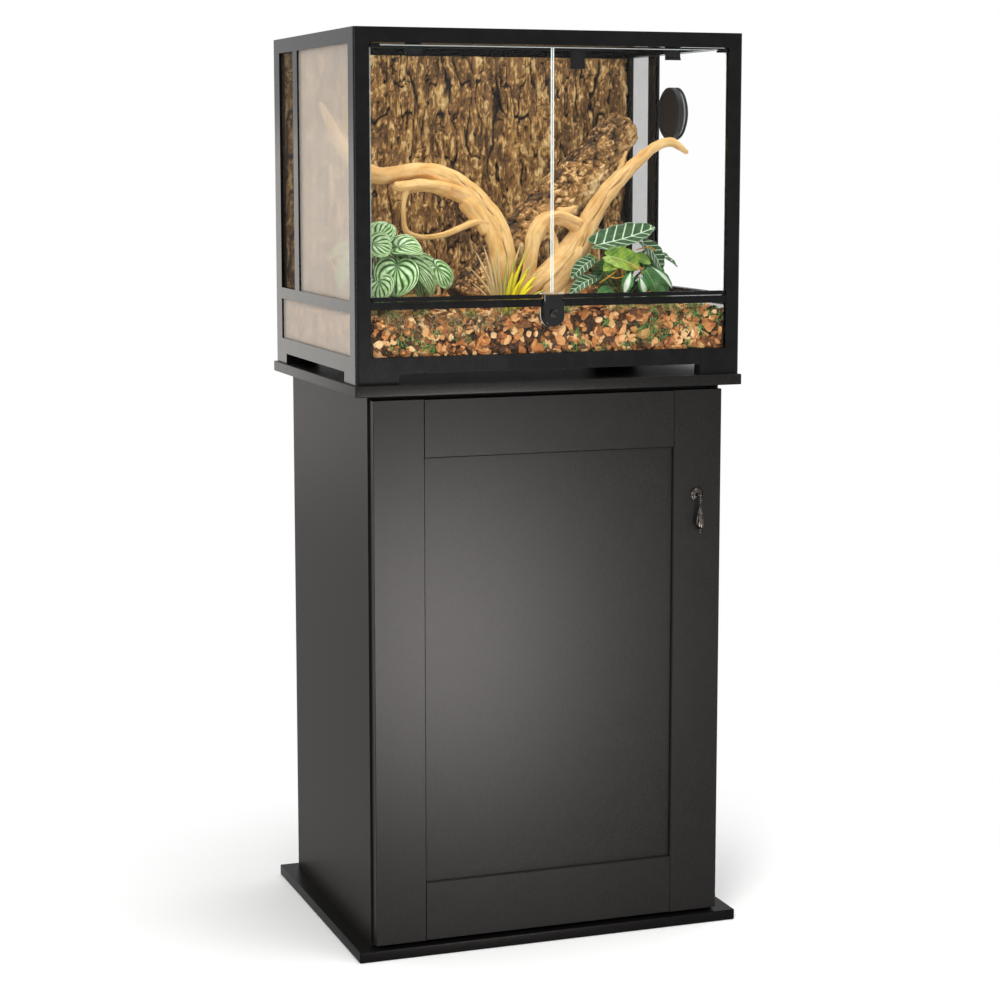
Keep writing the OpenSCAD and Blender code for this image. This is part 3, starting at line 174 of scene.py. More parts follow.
def laminateFinish(board):
    dark, pale, gloss = laminate[board]
    f = Finish("laminate_" + board)
    here = f.place()
    grain = f.noise(here, laminate["grain"], 3.0, 0.6)
    pores = f.noise(f.place(2.2, 2.2, 0.35), laminate["pores"], 3.0, 0.6)
    mottle = f.noise(here, laminate["mottle"], 3.0, 0.6)
    tone = (grain * 0.52 + pores * 0.38 + mottle * 0.10).rise(0.38, 0.62)
    return f.skin(f.blendColour(tone, dark, pale), mottle * 0.02 + grain * 0.12 + 0.31, gloss,
                  grain * 0.7 + pores * 0.3, laminate["relief"], 0.6)


# Black plastics and coated lengths: dark and pale tone, gloss, roughness and depth of the fine relief
plastics = {"frame_black": ("#070708", "#0e0e0f", 0.13, 0.19, 0.00006),
            "lid_black": ("#0b0b0c", "#131314", 0.15, 0.40, 0.0001),
            "lock_black": ("#060607", "#0d0d0e", 0.3, 0.12, 0.00003),
            "port_black": ("#151516", "#242425", 0.25, 0.42, 0.0002)}


# A faint cloud in tone and gloss, and scuffs that run up the length
def plasticFinish(name):
    dark, pale, gloss, rough, relief = plastics[name]
    f = Finish(name)
    here = f.place()
    fine = f.noise(here, 1400, 2.0, 0.5)
    cloud = f.noise(here, 34, 4.0, 0.6)
    scuff = f.noise(f.place(1, 1, 0.15), 240, 2.0, 0.5).rise(0.56, 0.74)
    return f.skin(f.blendColour(cloud.rise(0.3, 0.7), dark, pale), cloud * 0.08 + scuff * 0.035 + rough,
                  gloss, fine, relief, 0.4)


# Metal with a clouded colour and fine scratches
def metalFinish(name, dark, pale, rough):
    f = Finish(name)
    here = f.place()
    cloud = f.noise(here, 120, 3.0, 0.6)
    scratch = f.noise(f.place(6, 6, 0.4), 500, 2.0, 0.6)
    return f.close(f.surface({
        "Base Color": f.blendColour(cloud.rise(0.32, 0.68), dark, pale),
        "Metallic": 1.0,
        "Roughness": cloud * 0.14 + scratch * 0.10 + rough,
        "Normal": f.bump(scratch, 0.00008, 0.4)}))


# Sheet glass whose broad faces look along one axis: clear, with a sheen that grows at a flat angle, and
# on hazy panes a beige film that grows the same way, partly dust and partly painted reflection; its ground
# edges show pale
# dust and film colour the hazy panes' beige film, partly dust and partly painted reflection
glass = {"sheen": 0.006, "power": 3.0, "facet": 0.95, "clear": (0.999, 1.0, 0.9995, 1),
         "edge": "#dbe6e0", "ground": "#f2f7f4", "dust": "#c9bcae", "film": "#d8ccbf"}


def glassFinish(name, axis, growth, haze):
    f = Finish(name)
    facing = f.node("SeparateXYZ", {}, {0: f.node("TexCoord", out=1)}, out=axis)
    edge = 1 - (abs(facing) > glass["facet"])
    slant = f.node("LayerWeight", {}, {"Blend": 0.5}, out=1)
    wipe = f.noise(f.place(1, 1, 0.45), 12, 4.0, 0.6)
    smear = f.noise(f.place(1, 1, 2.2), 60, 3.0, 0.6)
    sheen = (slant ** glass["power"]) * growth + glass["sheen"]
    clear = f.node("BsdfTransparent", {}, {"Color": glass["clear"]})
    shine = f.node("BsdfGlossy", {}, {"Color": (1, 1, 1, 1), "Roughness": 0.02})
    dustAndReflection = f.surface({"Base Color": f.blendColour(wipe, glass["dust"], glass["film"]), "Roughness": 0.9,
                       "Specular IOR Level": 0.1})
    pane = f.node("MixShader", {}, {0: sheen * (wipe * 0.2 + 0.9), 1: clear, 2: shine})
    if haze > 0:
        # The veil: a beige diffuse film growing at a grazing angle, partly dust and partly painted reflection
        veil = (slant ** 2.0) * haze * (wipe * 0.42 + smear * 0.16 + 0.71)
        pane = f.node("MixShader", {}, {0: veil, 1: pane, 2: dustAndReflection})
    streak = f.noise(f.place(1, 1, 0.2), 300, 2.0, 0.5)
    cut = f.surface({
        "Base Color": f.blendColour(streak, glass["edge"], glass["ground"]), "Roughness": streak * 0.2 + 0.15,
        "Specular IOR Level": 0.6})
    rim = f.node("MixShader", {}, {0: 0.85, 1: clear, 2: cut})
    return f.close(f.node("MixShader", {}, {0: edge, 1: pane, 2: rim}))


print("finishes of the CAD pieces")
laminateBlack, laminateSide, laminatePaintedShadow = [laminateFinish(board) for board in ("black", "side", "deep")]
frameBlack, lidBlack, lockBlack, portBlack = [plasticFinish(name) for name in plastics]
steelPlain = metalFinish("steel_plain", "#8d8b88", "#b4b2ae", 0.28)
knobPewter = metalFinish("knob_pewter", "#1d1b1a", "#4a4642", 0.16)
glassFront = glassFinish("glass_front", 1, 0.5, 0)
glassLeft = glassFinish("glass_left", 0, 0.10, 0.88)
glassRight = glassFinish("glass_right", 0, 0.0, 0)
glassFloor = glassFinish("glass_floor", 2, 0.5, 0)

dressed = {
    # The base board takes the laminate made darker, painted shadow
    laminatePaintedShadow: ["base_board"],
    laminateSide: ["side_panel_left", "side_panel_right"],
    laminateBlack: ["top_board", "back_panel", "shelf", "front_stretcher", "door_stile_left",
                    "door_stile_right", "door_rail_top", "door_rail_bottom", "door_panel"],
    steelPlain: ["shelf_pins", "hinge_arms", "hinge_cups", "strike_plate"],
    frameBlack: ["base_corners", "base_rails_long", "base_rails_short", "posts_front", "posts_back",
                 "top_corners", "top_rail_front", "top_rail_back", "top_rails_side", "transom_front",
                 "transoms_side", "mullions", "left_door_foot", "left_door_pivot", "right_door_foot",
                 "right_door_pivot"],
    lockBlack: ["lock_housing", "lock_bar"],
    knobPewter: ["lock_knob", "pull_rosette", "pull_drop"],
    lidBlack: ["lid_frame", "lid_screen", "lid_clips", "vent_screens", "door_catch"],
    portBlack: ["port_ring", "port_plug"],
    glassFront: ["low_pane_front", "back_pane", "left_door_glass", "right_door_glass"],
    glassLeft: ["low_panes_side", "side_pane_left"],
    glassRight: ["side_pane_right"],
    glassFloor: ["bottom_pane"]}
for finish, names in dressed.items():
    for name in names:
        for slot in cadNodes[name].material_slots:
            slot.material = finish


# Three whole numbers and a seed are mixed into a share from 0 to 1
def lot(i, j, k, seed):
    h = (i.astype(np.uint64) * np.uint64(374761393) + j.astype(np.uint64) * np.uint64(668265263)
         + k.astype(np.uint64) * np.uint64(2246822519) + np.uint64(seed * 3266489917))
    h = (h ^ (h >> np.uint64(15))) * np.uint64(2654435761)
    h = (h ^ (h >> np.uint64(17))) * np.uint64(1597334677)
    return ((h >> np.uint64(13)) & np.uint64(0xffffff)).astype(float) / 0xffffff


# Smooth noise from -1 to 1: lots at the corners of a unit grid, eased and blended between them
def waves(points, size, seed):
    p = np.asarray(points, float) / np.asarray(size, float)
    low = np.floor(p)
    t = p - low
    t = t * t * (3 - 2 * t)
    cell = low.astype(np.int64)
    total = np.zeros(len(p))
    for corner in range(8):
        step = np.array([corner & 1, corner >> 1 & 1, corner >> 2 & 1])
        weight = np.where(step, t, 1 - t).prod(axis=1)
        total += weight * lot(*(cell + step).T, seed)
    return 2 * total - 1


# Noise summed at halving sizes and falling strengths
def layers(points, size, seed, count=4, fall=0.5):
    total, weight = 0, 0
    for k in range(count):
        total = total + waves(points, np.asarray(size, float) / 2 ** k, seed + k) * fall ** k
        weight += fall ** k
    return total / weight


def eased(x, low, high):
    t = np.clip((x - low) / (high - low), 0, 1)
    return t * t * (3 - 2 * t)


def unit(vectors):
    return vectors / np.maximum(np.linalg.norm(vectors, axis=-1, keepdims=True), 1e-12)


# Quads of a grid of rows by columns, row after row; wrapped, the last column meets the first
def gridQuads(rows, columns, wrapped=False):
    at = np.arange(rows * columns).reshape(rows, columns)
    if wrapped:
        at = np.hstack([at, at[:, :1]])
    return np.stack([at[:-1, :-1], at[:-1, 1:], at[1:, 1:], at[1:, :-1]], axis=-1).reshape(-1, 4)


# A grid of rings whose first and last rings each become one point
def ends(grid):
    return np.concatenate([grid[:1].mean(1), grid[1:-1].reshape(-1, *grid.shape[2:]), grid[-1:].mean(1)])


# Faces of rings closed by fans at both ends, for points put through ends()
def closedFaces(rows, columns):
    at = 1 + np.arange((rows - 2) * columns).reshape(rows - 2, columns)
    ring = np.hstack([at, at[:, :1]])
    sides = np.stack([ring[:-1, :-1], ring[:-1, 1:], ring[1:, 1:], ring[1:, :-1]], axis=-1).reshape(-1, 4)
    foot = np.stack([ring[0, 1:], ring[0, :-1], 0 * at[0]], axis=-1)
    head = np.stack([ring[-1, :-1], ring[-1, 1:], 0 * at[0] + at[-1, -1] + 1], axis=-1)
    return [sides, np.concatenate([foot, head])]


# Several sets of points, faces and marks become one set
def joined(parts):
    faces, start = [], 0
    for part in parts:
        faces += [f + start for f in part["faces"]]
        start += len(part["points"])
    marks = {key: np.concatenate([p["marks"][key] for p in parts]) for key in parts[0]["marks"]}
    return {"points": np.concatenate([p["points"] for p in parts]), "faces": faces, "marks": marks}


# Millimetres on the tank become metres in the frame
def toFrame(part):
    return dict(part, points=part["points"] * mm + tankFoot)


# Puts points, faces (a list of arrays, one row a face) and marks into a mesh that rides on a body
def makePiece(name, part, finish, body, swaps=(), smooth=True, flatFrom=None):
    mesh = bpy.data.meshes.new(name)
    points = np.asarray(part["points"], np.float32)
    faces = [np.atleast_2d(f) for f in part["faces"] if len(f)]
    corners = np.concatenate([f.ravel() for f in faces]).astype(np.int32)
    sizes = np.concatenate([np.full(len(f), f.shape[1]) for f in faces])
    starts = np.concatenate([[0], np.cumsum(sizes)[:-1]]).astype(np.int32)
    mesh.vertices.add(len(points))
    mesh.vertices.foreach_set("co", points.ravel())
    mesh.loops.add(len(corners))
    mesh.loops.foreach_set("vertex_index", corners)
    mesh.polygons.add(len(sizes))
    mesh.polygons.foreach_set("loop_start", starts)
    mesh.update(calc_edges=True)
    rounded = np.full(len(sizes), smooth)
    if flatFrom is not None:
        rounded[flatFrom:] = False
    mesh.polygons.foreach_set("use_smooth", rounded)
    for key, values in part["marks"].items():
        kind, field = ("FLOAT", "value") if values.ndim == 1 else ("FLOAT_VECTOR", "vector")
        mesh.attributes.new(key, kind, "POINT").data.foreach_set(field, values.astype(np.float32).ravel())
    mesh.materials.append(finish)
    piece = bpy.data.objects.new(name, mesh)
    bpy.context.scene.collection.objects.link(piece)
    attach(piece, body)
    if swaps:
        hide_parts(*swaps)


# A board with softened edges. Plan: a rectangle with round corners. Profile: a quarter round at the foot
# and at the head, each ring drawn in by the edge radius times one minus the sine
def softSlab(low, high, edge, corner, steps=5):
    turns = np.linspace(0, math.pi / 2, steps + 1)
    inset = edge * (1 - np.sin(turns))
    lift = edge * (1 - np.cos(turns))
    insets = np.concatenate([inset, inset[::-1]])
    heights = np.concatenate([low[2] + lift, high[2] - lift[::-1]])
    around = np.concatenate([np.linspace(q, q + math.pi / 2, steps + 1) for q in np.arange(4) * math.pi / 2])
    sideX = np.repeat([1, -1, -1, 1], steps + 1)
    sideY = np.repeat([1, 1, -1, -1], steps + 1)
    middle = (np.array(low) + np.array(high)) / 2
    half = (np.array(high) - np.array(low)) / 2
    radius = corner - insets[:, None]
    x = middle[0] + sideX * (half[0] - corner) + radius * np.cos(around)
    y = middle[1] + sideY * (half[1] - corner) + radius * np.sin(around)
    points = np.stack([x, y, np.broadcast_to(heights[:, None], x.shape)], axis=-1).reshape(-1, 3)
    rings, count = x.shape
    sides = gridQuads(rings, count, True)
    caps = [np.arange(count)[::-1][None], (np.arange(count) + (rings - 1) * count)[None]]
    return {"points": points, "faces": [sides, *caps], "marks": {}}, len(sides)


print("boards")
boards = {"edge": 1.6 * mm, "corner": 2.6 * mm}
for name, finish in (("base_board", laminatePaintedShadow), ("top_board", laminateBlack)):
    low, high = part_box(name)
    slab, flatFrom = softSlab(low, high, boards["edge"], boards["corner"])
    makePiece(name + "_soft", slab, finish, "terrarium", [name], flatFrom=flatFrom)


# Door glass: the outline's corners, each edge ground off by a small bevel. The outline is drawn in by the
# bevel for the outermost layers, along the mean of each corner's two edge normals
doorGlass = {"bevel": 0.9 * mm, "notchX": 17.5 * mm, "notchZ": 128 * mm}


def bevelledSheet(outline, front, back, bevel):
    outline = np.array(outline, float)
    onward = unit(np.roll(outline, -1, 0) - outline)
    outward = np.stack([onward[:, 1], -onward[:, 0]], -1)
    corner = np.roll(outward, 1, 0) + outward
    drawn = outline - corner * bevel / np.maximum((corner * outward).sum(1, keepdims=True), 0.2)
    rows = [(drawn, front), (outline, front + bevel), (outline, back - bevel), (drawn, back)]
    grid = np.stack([np.stack([flat[:, 0], np.full(len(flat), y), flat[:, 1]], -1) for flat, y in rows])
    count = len(outline)
    caps = [np.arange(count)[None], (np.arange(count)[::-1] + 3 * count)[None]]
    sides = gridQuads(4, count, True)[:, ::-1]
    return {"points": grid.reshape(-1, 3), "faces": [sides, *caps], "marks": {}}


def doorGlassPieces():
    step = tankFoot[2] + doorGlass["notchZ"]
    for side, sign in (("left", -1), ("right", 1)):
        low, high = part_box(side + "_door_glass")
        notch = tankFoot[0] + sign * doorGlass["notchX"]
        outline = {"left": [[low[0], low[2]], [notch, low[2]], [notch, step], [high[0], step],
                            [high[0], high[2]], [low[0], high[2]]],
                   "right": [[notch, low[2]], [high[0], low[2]], [high[0], high[2]], [low[0], high[2]],
                             [low[0], step], [notch, step]]}[side]
        part = bevelledSheet(outline, low[1], high[1], doorGlass["bevel"])
        makePiece(side + "_door_pane", part, glassFront, side + "_door",
                  [side + "_door_glass"], smooth=False)


print("door glass")
doorGlassPieces()


# A profile of radius and height, smoothed by cutting its corners, turned round an axis.
# A wave round the turn dents the radius into flutes where the flute share is above 0
def turned(profile, sides, flutes=0, depth=0.0, band=(0, 0), cuts=2):
    p = np.array(profile, float)
    for _ in range(cuts):
        cut = np.empty((2 * len(p) - 2, 2))
        cut[0::2], cut[1::2] = 0.75 * p[:-1] + 0.25 * p[1:], 0.25 * p[:-1] + 0.75 * p[1:]
        p = np.vstack([p[:1], cut, p[-1:]])
    turn = np.linspace(0, 2 * math.pi, sides, endpoint=False)
    radius, height = p[:, :1], p[:, 1:]
    share = eased(height, band[0], band[0] + 4) * (1 - eased(height, band[1] - 4, band[1])) if flutes else 0
    radius = radius - depth * share * (0.5 - 0.5 * np.cos(flutes * turn)) ** 0.7
    grid = np.stack([radius * np.cos(turn), radius * np.sin(turn),
                     np.broadcast_to(height, (len(p), sides))], axis=-1)
    if p[0, 0] > 0:                     # a profile that comes back to its start makes a ring
        faces = gridQuads(len(p), sides, True)
        faces = np.where(faces >= (len(p) - 1) * sides, faces - (len(p) - 1) * sides, faces)
        return {"points": grid[:-1].reshape(-1, 3), "faces": [faces], "marks": {}}
    return {"points": ends(grid), "faces": closedFaces(len(p), sides), "marks": {}}


print("drop pull")
pull = {"x": 238.5, "y": -226.0, "z": 679.0, "out": 13.0, "sides": 96}


def placed(part, place, turn=None):
    points = part["points"] if turn is None else part["points"] @ np.array(turn, float).T
    return dict(part, points=(points + np.array(place)) * mm)


def pullPieces():
    forward = [[1, 0, 0], [0, 0, -1], [0, 1, 0]]
    sideways = [[0, 0, 1], [0, 1, 0], [-1, 0, 0]]
    back = [pull["x"], pull["y"], pull["z"]]
    axis = [pull["x"], pull["y"] - pull["out"], pull["z"]]
    disc = turned([[0, 0], [11, 0], [11, 1.3], [10.4, 2.2], [9.3, 2.5], [8.6, 3.4], [7.6, 4.6], [5.8, 5.2],
                   [5.2, 6.2], [3.0, 6.9], [0, 7.0]], pull["sides"])
    ears = []
    for side in (-1, 1):
        ear = turned([[0, -1.2], [3.4, -1.2], [3.6, -0.9], [3.6, 0.9], [3.4, 1.2], [0, 1.2]], 40)
        neck, _ = softSlab((-1.2, -7.5, -2.6), (1.2, 0, 2.6), 0.5, 0.6, 3)
        ears.append(placed(ear, np.array(axis) + [side * 3.5, 0, 0], sideways))
        ears.append(placed(dict(neck, faces=neck["faces"][:1]), np.array(axis) + [side * 3.5, 8, 0]))
    pin = turned([[0, -5.1], [1.3, -5.1], [1.5, -4.8], [1.5, 4.8], [1.3, 5.1], [0, 5.1]], 32)
    rosette = joined([placed(disc, back, forward), *ears, placed(pin, axis, sideways)])
    makePiece("pull_rosette_turned", rosette, knobPewter, "cabinet_door", ["pull_rosette"])
    eye = turned([[1.62, -1.9], [2.6, -1.9], [3.1, -1.3], [3.1, 1.3], [2.6, 1.9], [1.62, 1.9], [1.62, -1.9]],
                 40, cuts=1)
    drop = turned([[0, -2.9], [1.5, -3.0], [1.9, -4.5], [2.2, -6.8], [2.9, -8.0], [2.6, -9.4], [1.8, -10.4],
                   [1.6, -13], [2.4, -18], [4.0, -25], [5.4, -36], [6.5, -45], [6.3, -49], [4.4, -51.4],
                   [2.0, -52.4], [1.5, -54], [2.4, -56], [2.7, -57.6], [1.8, -59.4], [0, -60]],
                  pull["sides"], 8, 0.9, (-50, -20))
    drop["faces"] = [f[:, ::-1] for f in drop["faces"]]     # this profile runs downwards
    makePiece("pull_drop_turned", joined([placed(eye, axis, sideways), placed(drop, axis)]), knobPewter,
              "pull", ["pull_drop"])


pullPieces()


# Straight wires in rows and columns: each is a long box between two corners
def boxes(low, high):
    pick = np.array([[0, 0, 0], [1, 0, 0], [1, 1, 0], [0, 1, 0], [0, 0, 1], [1, 0, 1], [1, 1, 1], [0, 1, 1]])
    points = np.where(pick[None], high[:, None], low[:, None])
    faces = np.array([[0, 3, 2, 1], [4, 5, 6, 7], [0, 1, 5, 4], [1, 2, 6, 5], [2, 3, 7, 6], [3, 0, 4, 7]])
    faces = faces[None] + 8 * np.arange(len(low))[:, None, None]
    return {"points": points.reshape(-1, 3), "faces": [faces.reshape(-1, 4)], "marks": {}}


# Wires of one net lying in the plane square to an axis, spaced evenly between its corners
def wires(low, high, flat, pitch, wire):
    low, high = np.array(low, float), np.array(high, float)
    middle = (low[flat] + high[flat]) / 2
    parts = []
    for across in [a for a in range(3) if a != flat]:
        count = int((high[across] - low[across]) / pitch)
        at = low[across] + (np.arange(count) + 0.5) * (high[across] - low[across]) / count
        a, b = np.repeat(low[None], count, 0), np.repeat(high[None], count, 0)
        a[:, across], b[:, across] = at - wire / 2, at + wire / 2
        a[:, flat], b[:, flat] = middle - wire / 2, middle + wire / 2
        parts.append(boxes(a, b))
    return joined(parts)


print("screens")
screens = {"lidPitch": 2.0 * mm, "lidWire": 0.32 * mm, "ventPitch": 1.5 * mm, "ventWire": 0.19 * mm,
           "ventThick": 1 * mm}
meshSteel = metalFinish("mesh_steel", "#3b3a38", "#6d6b68", 0.35)
meshVent = metalFinish("mesh_vent", "#2e2822", "#564b40", 0.45)
low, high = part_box("lid_screen")
makePiece("lid_mesh", wires(low, high, 2, screens["lidPitch"], screens["lidWire"]), meshSteel, "lid",
          ["lid_screen"], smooth=False)
low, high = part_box("vent_screens")
makePiece("vent_mesh", joined([
    wires(a, b, 0, screens["ventPitch"], screens["ventWire"])
    for a, b in ((low, (low[0] + screens["ventThick"], high[1], high[2])),
                 ((high[0] - screens["ventThick"], low[1], low[2]), high))]),
    meshVent, "terrarium", ["vent_screens"], smooth=False)


# A rising ramp cut into a number of flat steps with short slopes between them
def stepped(x, count, slope):
    low = np.floor(x * count)
    return (low + eased(x * count - low, 0.5 - slope, 0.5 + slope)) / count


# The sheet is as wide and tall as the edge of the slab; its back, at the rear, is narrower behind a step
bark = {"columns": 345, "rows": 275, "face": 208.0, "wide": 295.5, "low": 25.2, "high": 490.6,
        "step": 218.9, "rear": 221.4, "rearWide": 281.5, "rearLow": 41.2, "rearHigh": 486.5, "scale": 12}


# Height of the bark, mm, from x across and z up. Tall ridges and ribs run up it, plates and flakes are
# stepped noise so that each ends in a broken edge, cracks run between them and short ones cross; slow
# noise pulls everything sideways so that nothing runs straight. It also returns the cracks as a mark, which
# the colour darkens, partly the bark's own dark and partly painted shade, and facet, scattered spots that
# the colour paints as golden highlights
def barkHeight(x, z):
    flat = np.stack([x, 0 * x, z], -1)
    bentX = x + 9 * layers(flat, (60, 1, 90), 3, 3) + 4.5 * layers(flat, (13, 1, 24), 5, 3)
    bentZ = z + 16 * layers(flat, (18, 1, 50), 7, 3)
    bent = np.stack([bentX, 0 * x, bentZ], -1)
    ridge = 1 - 1.6 * np.abs(waves(bent, (16, 1, 120), 11))
    rib = 1 - 1.5 * np.abs(waves(bent, (8, 1, 46), 13))
    plate = stepped(layers(bent, (13, 1, 44), 17, 2) * 0.5 + 0.5, 5, 0.10)
    flake = stepped(layers(bent, (6, 1, 17), 19, 2) * 0.5 + 0.5, 4, 0.14)
    crack = eased(np.abs(waves(bent, (11, 1, 60), 29)), 0.0, 0.16)
    across = 1 - eased(np.abs(waves(bent, (9, 1, 13), 31)), 0.0, 0.14)
    cross = 1 - across * eased(waves(bent, (10, 1, 14), 37), 0, 0.3)
    rough = layers(bent, (4, 1, 9), 23, 3, 0.7)
    height = 2.8 * ridge + 2.4 * rib + 8.0 * plate + 5.0 * flake + 3.8 * crack * cross + 2.6 * rough - 2.4
    # facet: scattered spots, painted as golden highlights in the colour
    facet = eased(layers(bent, (6, 1, 19), 41, 3, 0.7), 0.10, 0.40) * crack * (0.55 + 0.45 * flake)
    facet = np.maximum(facet, 0.8 * eased(layers(bent, (3, 1, 8), 47, 2), 0.28, 0.55))
    return height, crack * cross, facet


def barkPiece():
    x, z = np.meshgrid(np.linspace(-bark["wide"], bark["wide"], bark["columns"]),
                       np.linspace(bark["low"], bark["high"], bark["rows"]))
    height, plate, chip = barkHeight(x.ravel(), z.ravel())
    y = bark["face"] - height
    front = np.stack([x.ravel(), y, z.ravel()], axis=-1)
    rows, columns = x.shape
    at = np.arange(rows * columns).reshape(rows, columns)
    rim = np.concatenate([at[0, :-1], at[:-1, -1], at[-1, :0:-1], at[:0:-1, 0]])
    back = front[rim] * [1, 0, 1] + [0, bark["step"], 0]
    inner = np.stack([np.clip(front[rim][:, 0], -bark["rearWide"], bark["rearWide"]),
                      np.full(len(rim), bark["rear"]),
                      np.clip(front[rim][:, 2], bark["rearLow"], bark["rearHigh"])], -1)
    turn = np.stack([inner[:, 0], np.full(len(rim), bark["step"]), inner[:, 2]], -1)
    points = np.concatenate([front, back, turn, inner])
    start = rows * columns
    loops = [rim] + [start + k * len(rim) + np.arange(len(rim)) for k in range(3)]
    skirt = np.concatenate([np.stack([a, b, np.roll(b, -1), np.roll(a, -1)], -1)
                            for a, b in zip(loops, loops[1:])])
    # Marks for the colour: height and plate give partly painted shade, chip the painted golden highlights
    marks = {key: np.concatenate([values, np.full(3 * len(rim), behind)])
             for key, values, behind in (("height", height / bark["scale"], 0.3), ("plate", plate, 0.6),
                                         ("chip", chip, 0.5))}
    part = {"points": points, "faces": [gridQuads(rows, columns), skirt, loops[3][None]], "marks": marks}
    makePiece("bark_relief", toFrame(part), barkFinish(), "terrarium", ["bark_background"])


# Bark: umber, paler on raised places and black-brown in the fissures, partly the bark's own colour and
# partly painted light and shade, with golden painted highlights where the chip mark is high
def barkFinish():
    f = Finish("bark_brown")
    fibre = f.noise(f.place(1, 1, 0.20), 300, 5.0, 0.7)
    grit = f.noise(f.place(1, 1, 0.6), 600, 3.0, 0.7)
    patch = f.noise(f.place(1, 1, 0.5), 11, 3.0, 0.6)
    height, plate, chip = f.mark("height"), f.mark("plate"), f.mark("chip")
    tone = height * 0.36 + fibre * 0.78 + grit * 0.40 + patch * 0.34 + chip * (fibre * 1.0 - 0.14) - 0.57
    colour = f.ramp(tone, (0.10, "#20160d"), (0.26, "#4c3620"), (0.40, "#765736"), (0.54, "#a07645"),
                    (0.68, "#dbab62"), (0.86, "#fbdc9c"))
    colour = f.blendColour(plate.rise(0.0, 0.75), "#150e08", colour)
    grey = f.noise(f.place(1, 1, 0.3), 34, 3.0, 0.6).rise(0.54, 0.72)
    colour = f.blendColour(grey * 0.28, colour, f.ramp(tone, (0.2, "#31261e"), (0.8, "#a08c74")))
    return f.skin(colour, fibre * 0.2 + 0.60, 0.3, fibre * 0.7 + grit * 0.3, 0.0030, 1.0)


print("bark background")
barkPiece()


# The planting space, mm: half its width, half its depth and its height, and where the soil starts
planting = {"size": [298, 221.5, 400], "start": [0, 0, 91]}


# Shares of the planting space become millimetres on the tank; a fourth number is a radius
def spot(route):
    p = np.atleast_2d(np.array(route, float))
    place = p[:, :3] * planting["size"] + planting["start"]
    return np.hstack([place, p[:, 3:]])


# A route with its corners cut three times, then evenly spaced by length
def evenRoute(route, count):
    p = np.array(route, float)
    for _ in range(3):
        cut = np.empty((2 * len(p) - 2, p.shape[1]))
        cut[0::2], cut[1::2] = 0.75 * p[:-1] + 0.25 * p[1:], 0.25 * p[:-1] + 0.75 * p[1:]
        p = np.vstack([p[:1], cut, p[-1:]])
    run = np.concatenate([[0], np.cumsum(np.linalg.norm(np.diff(p[:, :3], axis=0), axis=1))])
    at = np.linspace(0, run[-1], count)
    return np.stack([np.interp(at, run, p[:, k]) for k in range(p.shape[1])], axis=1), at


# A lobed, twisted tube along a route: rings stand square to the path, the radius is the route's times
# lobes round the turn, less cracks (narrow valleys along a drifting line), plus noise at its place and
# flutes along the grain. Both ends are drawn in to a closing point
def limb(route, sides=40, step=2.0, lobes=(0.08, 3, 0.02), rough=(0.7, 14), cracks=(), flare=(0, 0), seed=1,
         side=(0, 1, 0)):
    bends = spot(route)
    length = np.linalg.norm(np.diff(bends[:, :3], axis=0), axis=1).sum()
    path, run = evenRoute(bends, max(8, int(length / step)))
    ahead = unit(np.gradient(path[:, :3], axis=0))
    first = unit(np.cross(ahead, np.array(side, float)))
    second = np.cross(ahead, first)
    turn = np.linspace(0, 2 * math.pi, sides, endpoint=False)[None]
    s, thick = run[:, None], path[:, 3:4]
    radius = thick * (1 + lobes[0] * np.sin(lobes[1] * turn + lobes[2] * s)
                      + 0.5 * lobes[0] * np.sin((lobes[1] - 1) * turn - 1.7 * lobes[2] * s + 1.3))
    radius = radius * (1 + flare[0] * np.exp(-s / 14) + flare[1] * np.exp(-(run[-1] - s) / 14))
    crack = np.zeros_like(radius)
    for angle, drift, start, stop, wide, deep in cracks:
        line = math.radians(angle) + drift * s + 0.12 * np.sin(s / 9 + angle)
        gap = np.angle(np.exp(1j * (turn - line)))
        hold = eased(s, start - 12, start + 12) * (1 - eased(s, stop - 16, stop + 10))
        valley = np.exp(-(gap / wide) ** 2) * hold
        radius = radius - deep * valley
        crack = np.maximum(crack, valley)
    spoke = np.cos(turn)[..., None] * first[:, None] + np.sin(turn)[..., None] * second[:, None]
    plain = (path[:, None, :3] + spoke * thick[:, None]).reshape(-1, 3)
    bumps = layers(plain, rough[1], seed, 3).reshape(radius.shape)
    girth = np.stack(np.broadcast_arrays(np.cos(turn) * thick, np.sin(turn) * thick, s), -1).reshape(-1, 3)
    flutes = layers(girth, (7, 7, 60), seed + 9, 3).reshape(radius.shape)
    radius = radius + rough[0] * bumps + 0.07 * thick * flutes
    fromEnd = np.clip(np.minimum(s, run[-1] - s) / (0.8 * thick + 0.5), 0, 1)
    radius = np.maximum(radius, 0.3) * np.sqrt(np.clip(1 - (1 - fromEnd) ** 2, 0, 1))
    points = path[:, None, :3] + spoke * radius[..., None]
    grain = np.stack(np.broadcast_arrays(np.cos(turn) * 9, np.sin(turn) * 9, s), -1)
    return toFrame({"points": ends(points), "faces": closedFaces(len(path), sides),
                    "marks": {"grain": ends(grain) * mm, "crack": ends(crack)}})
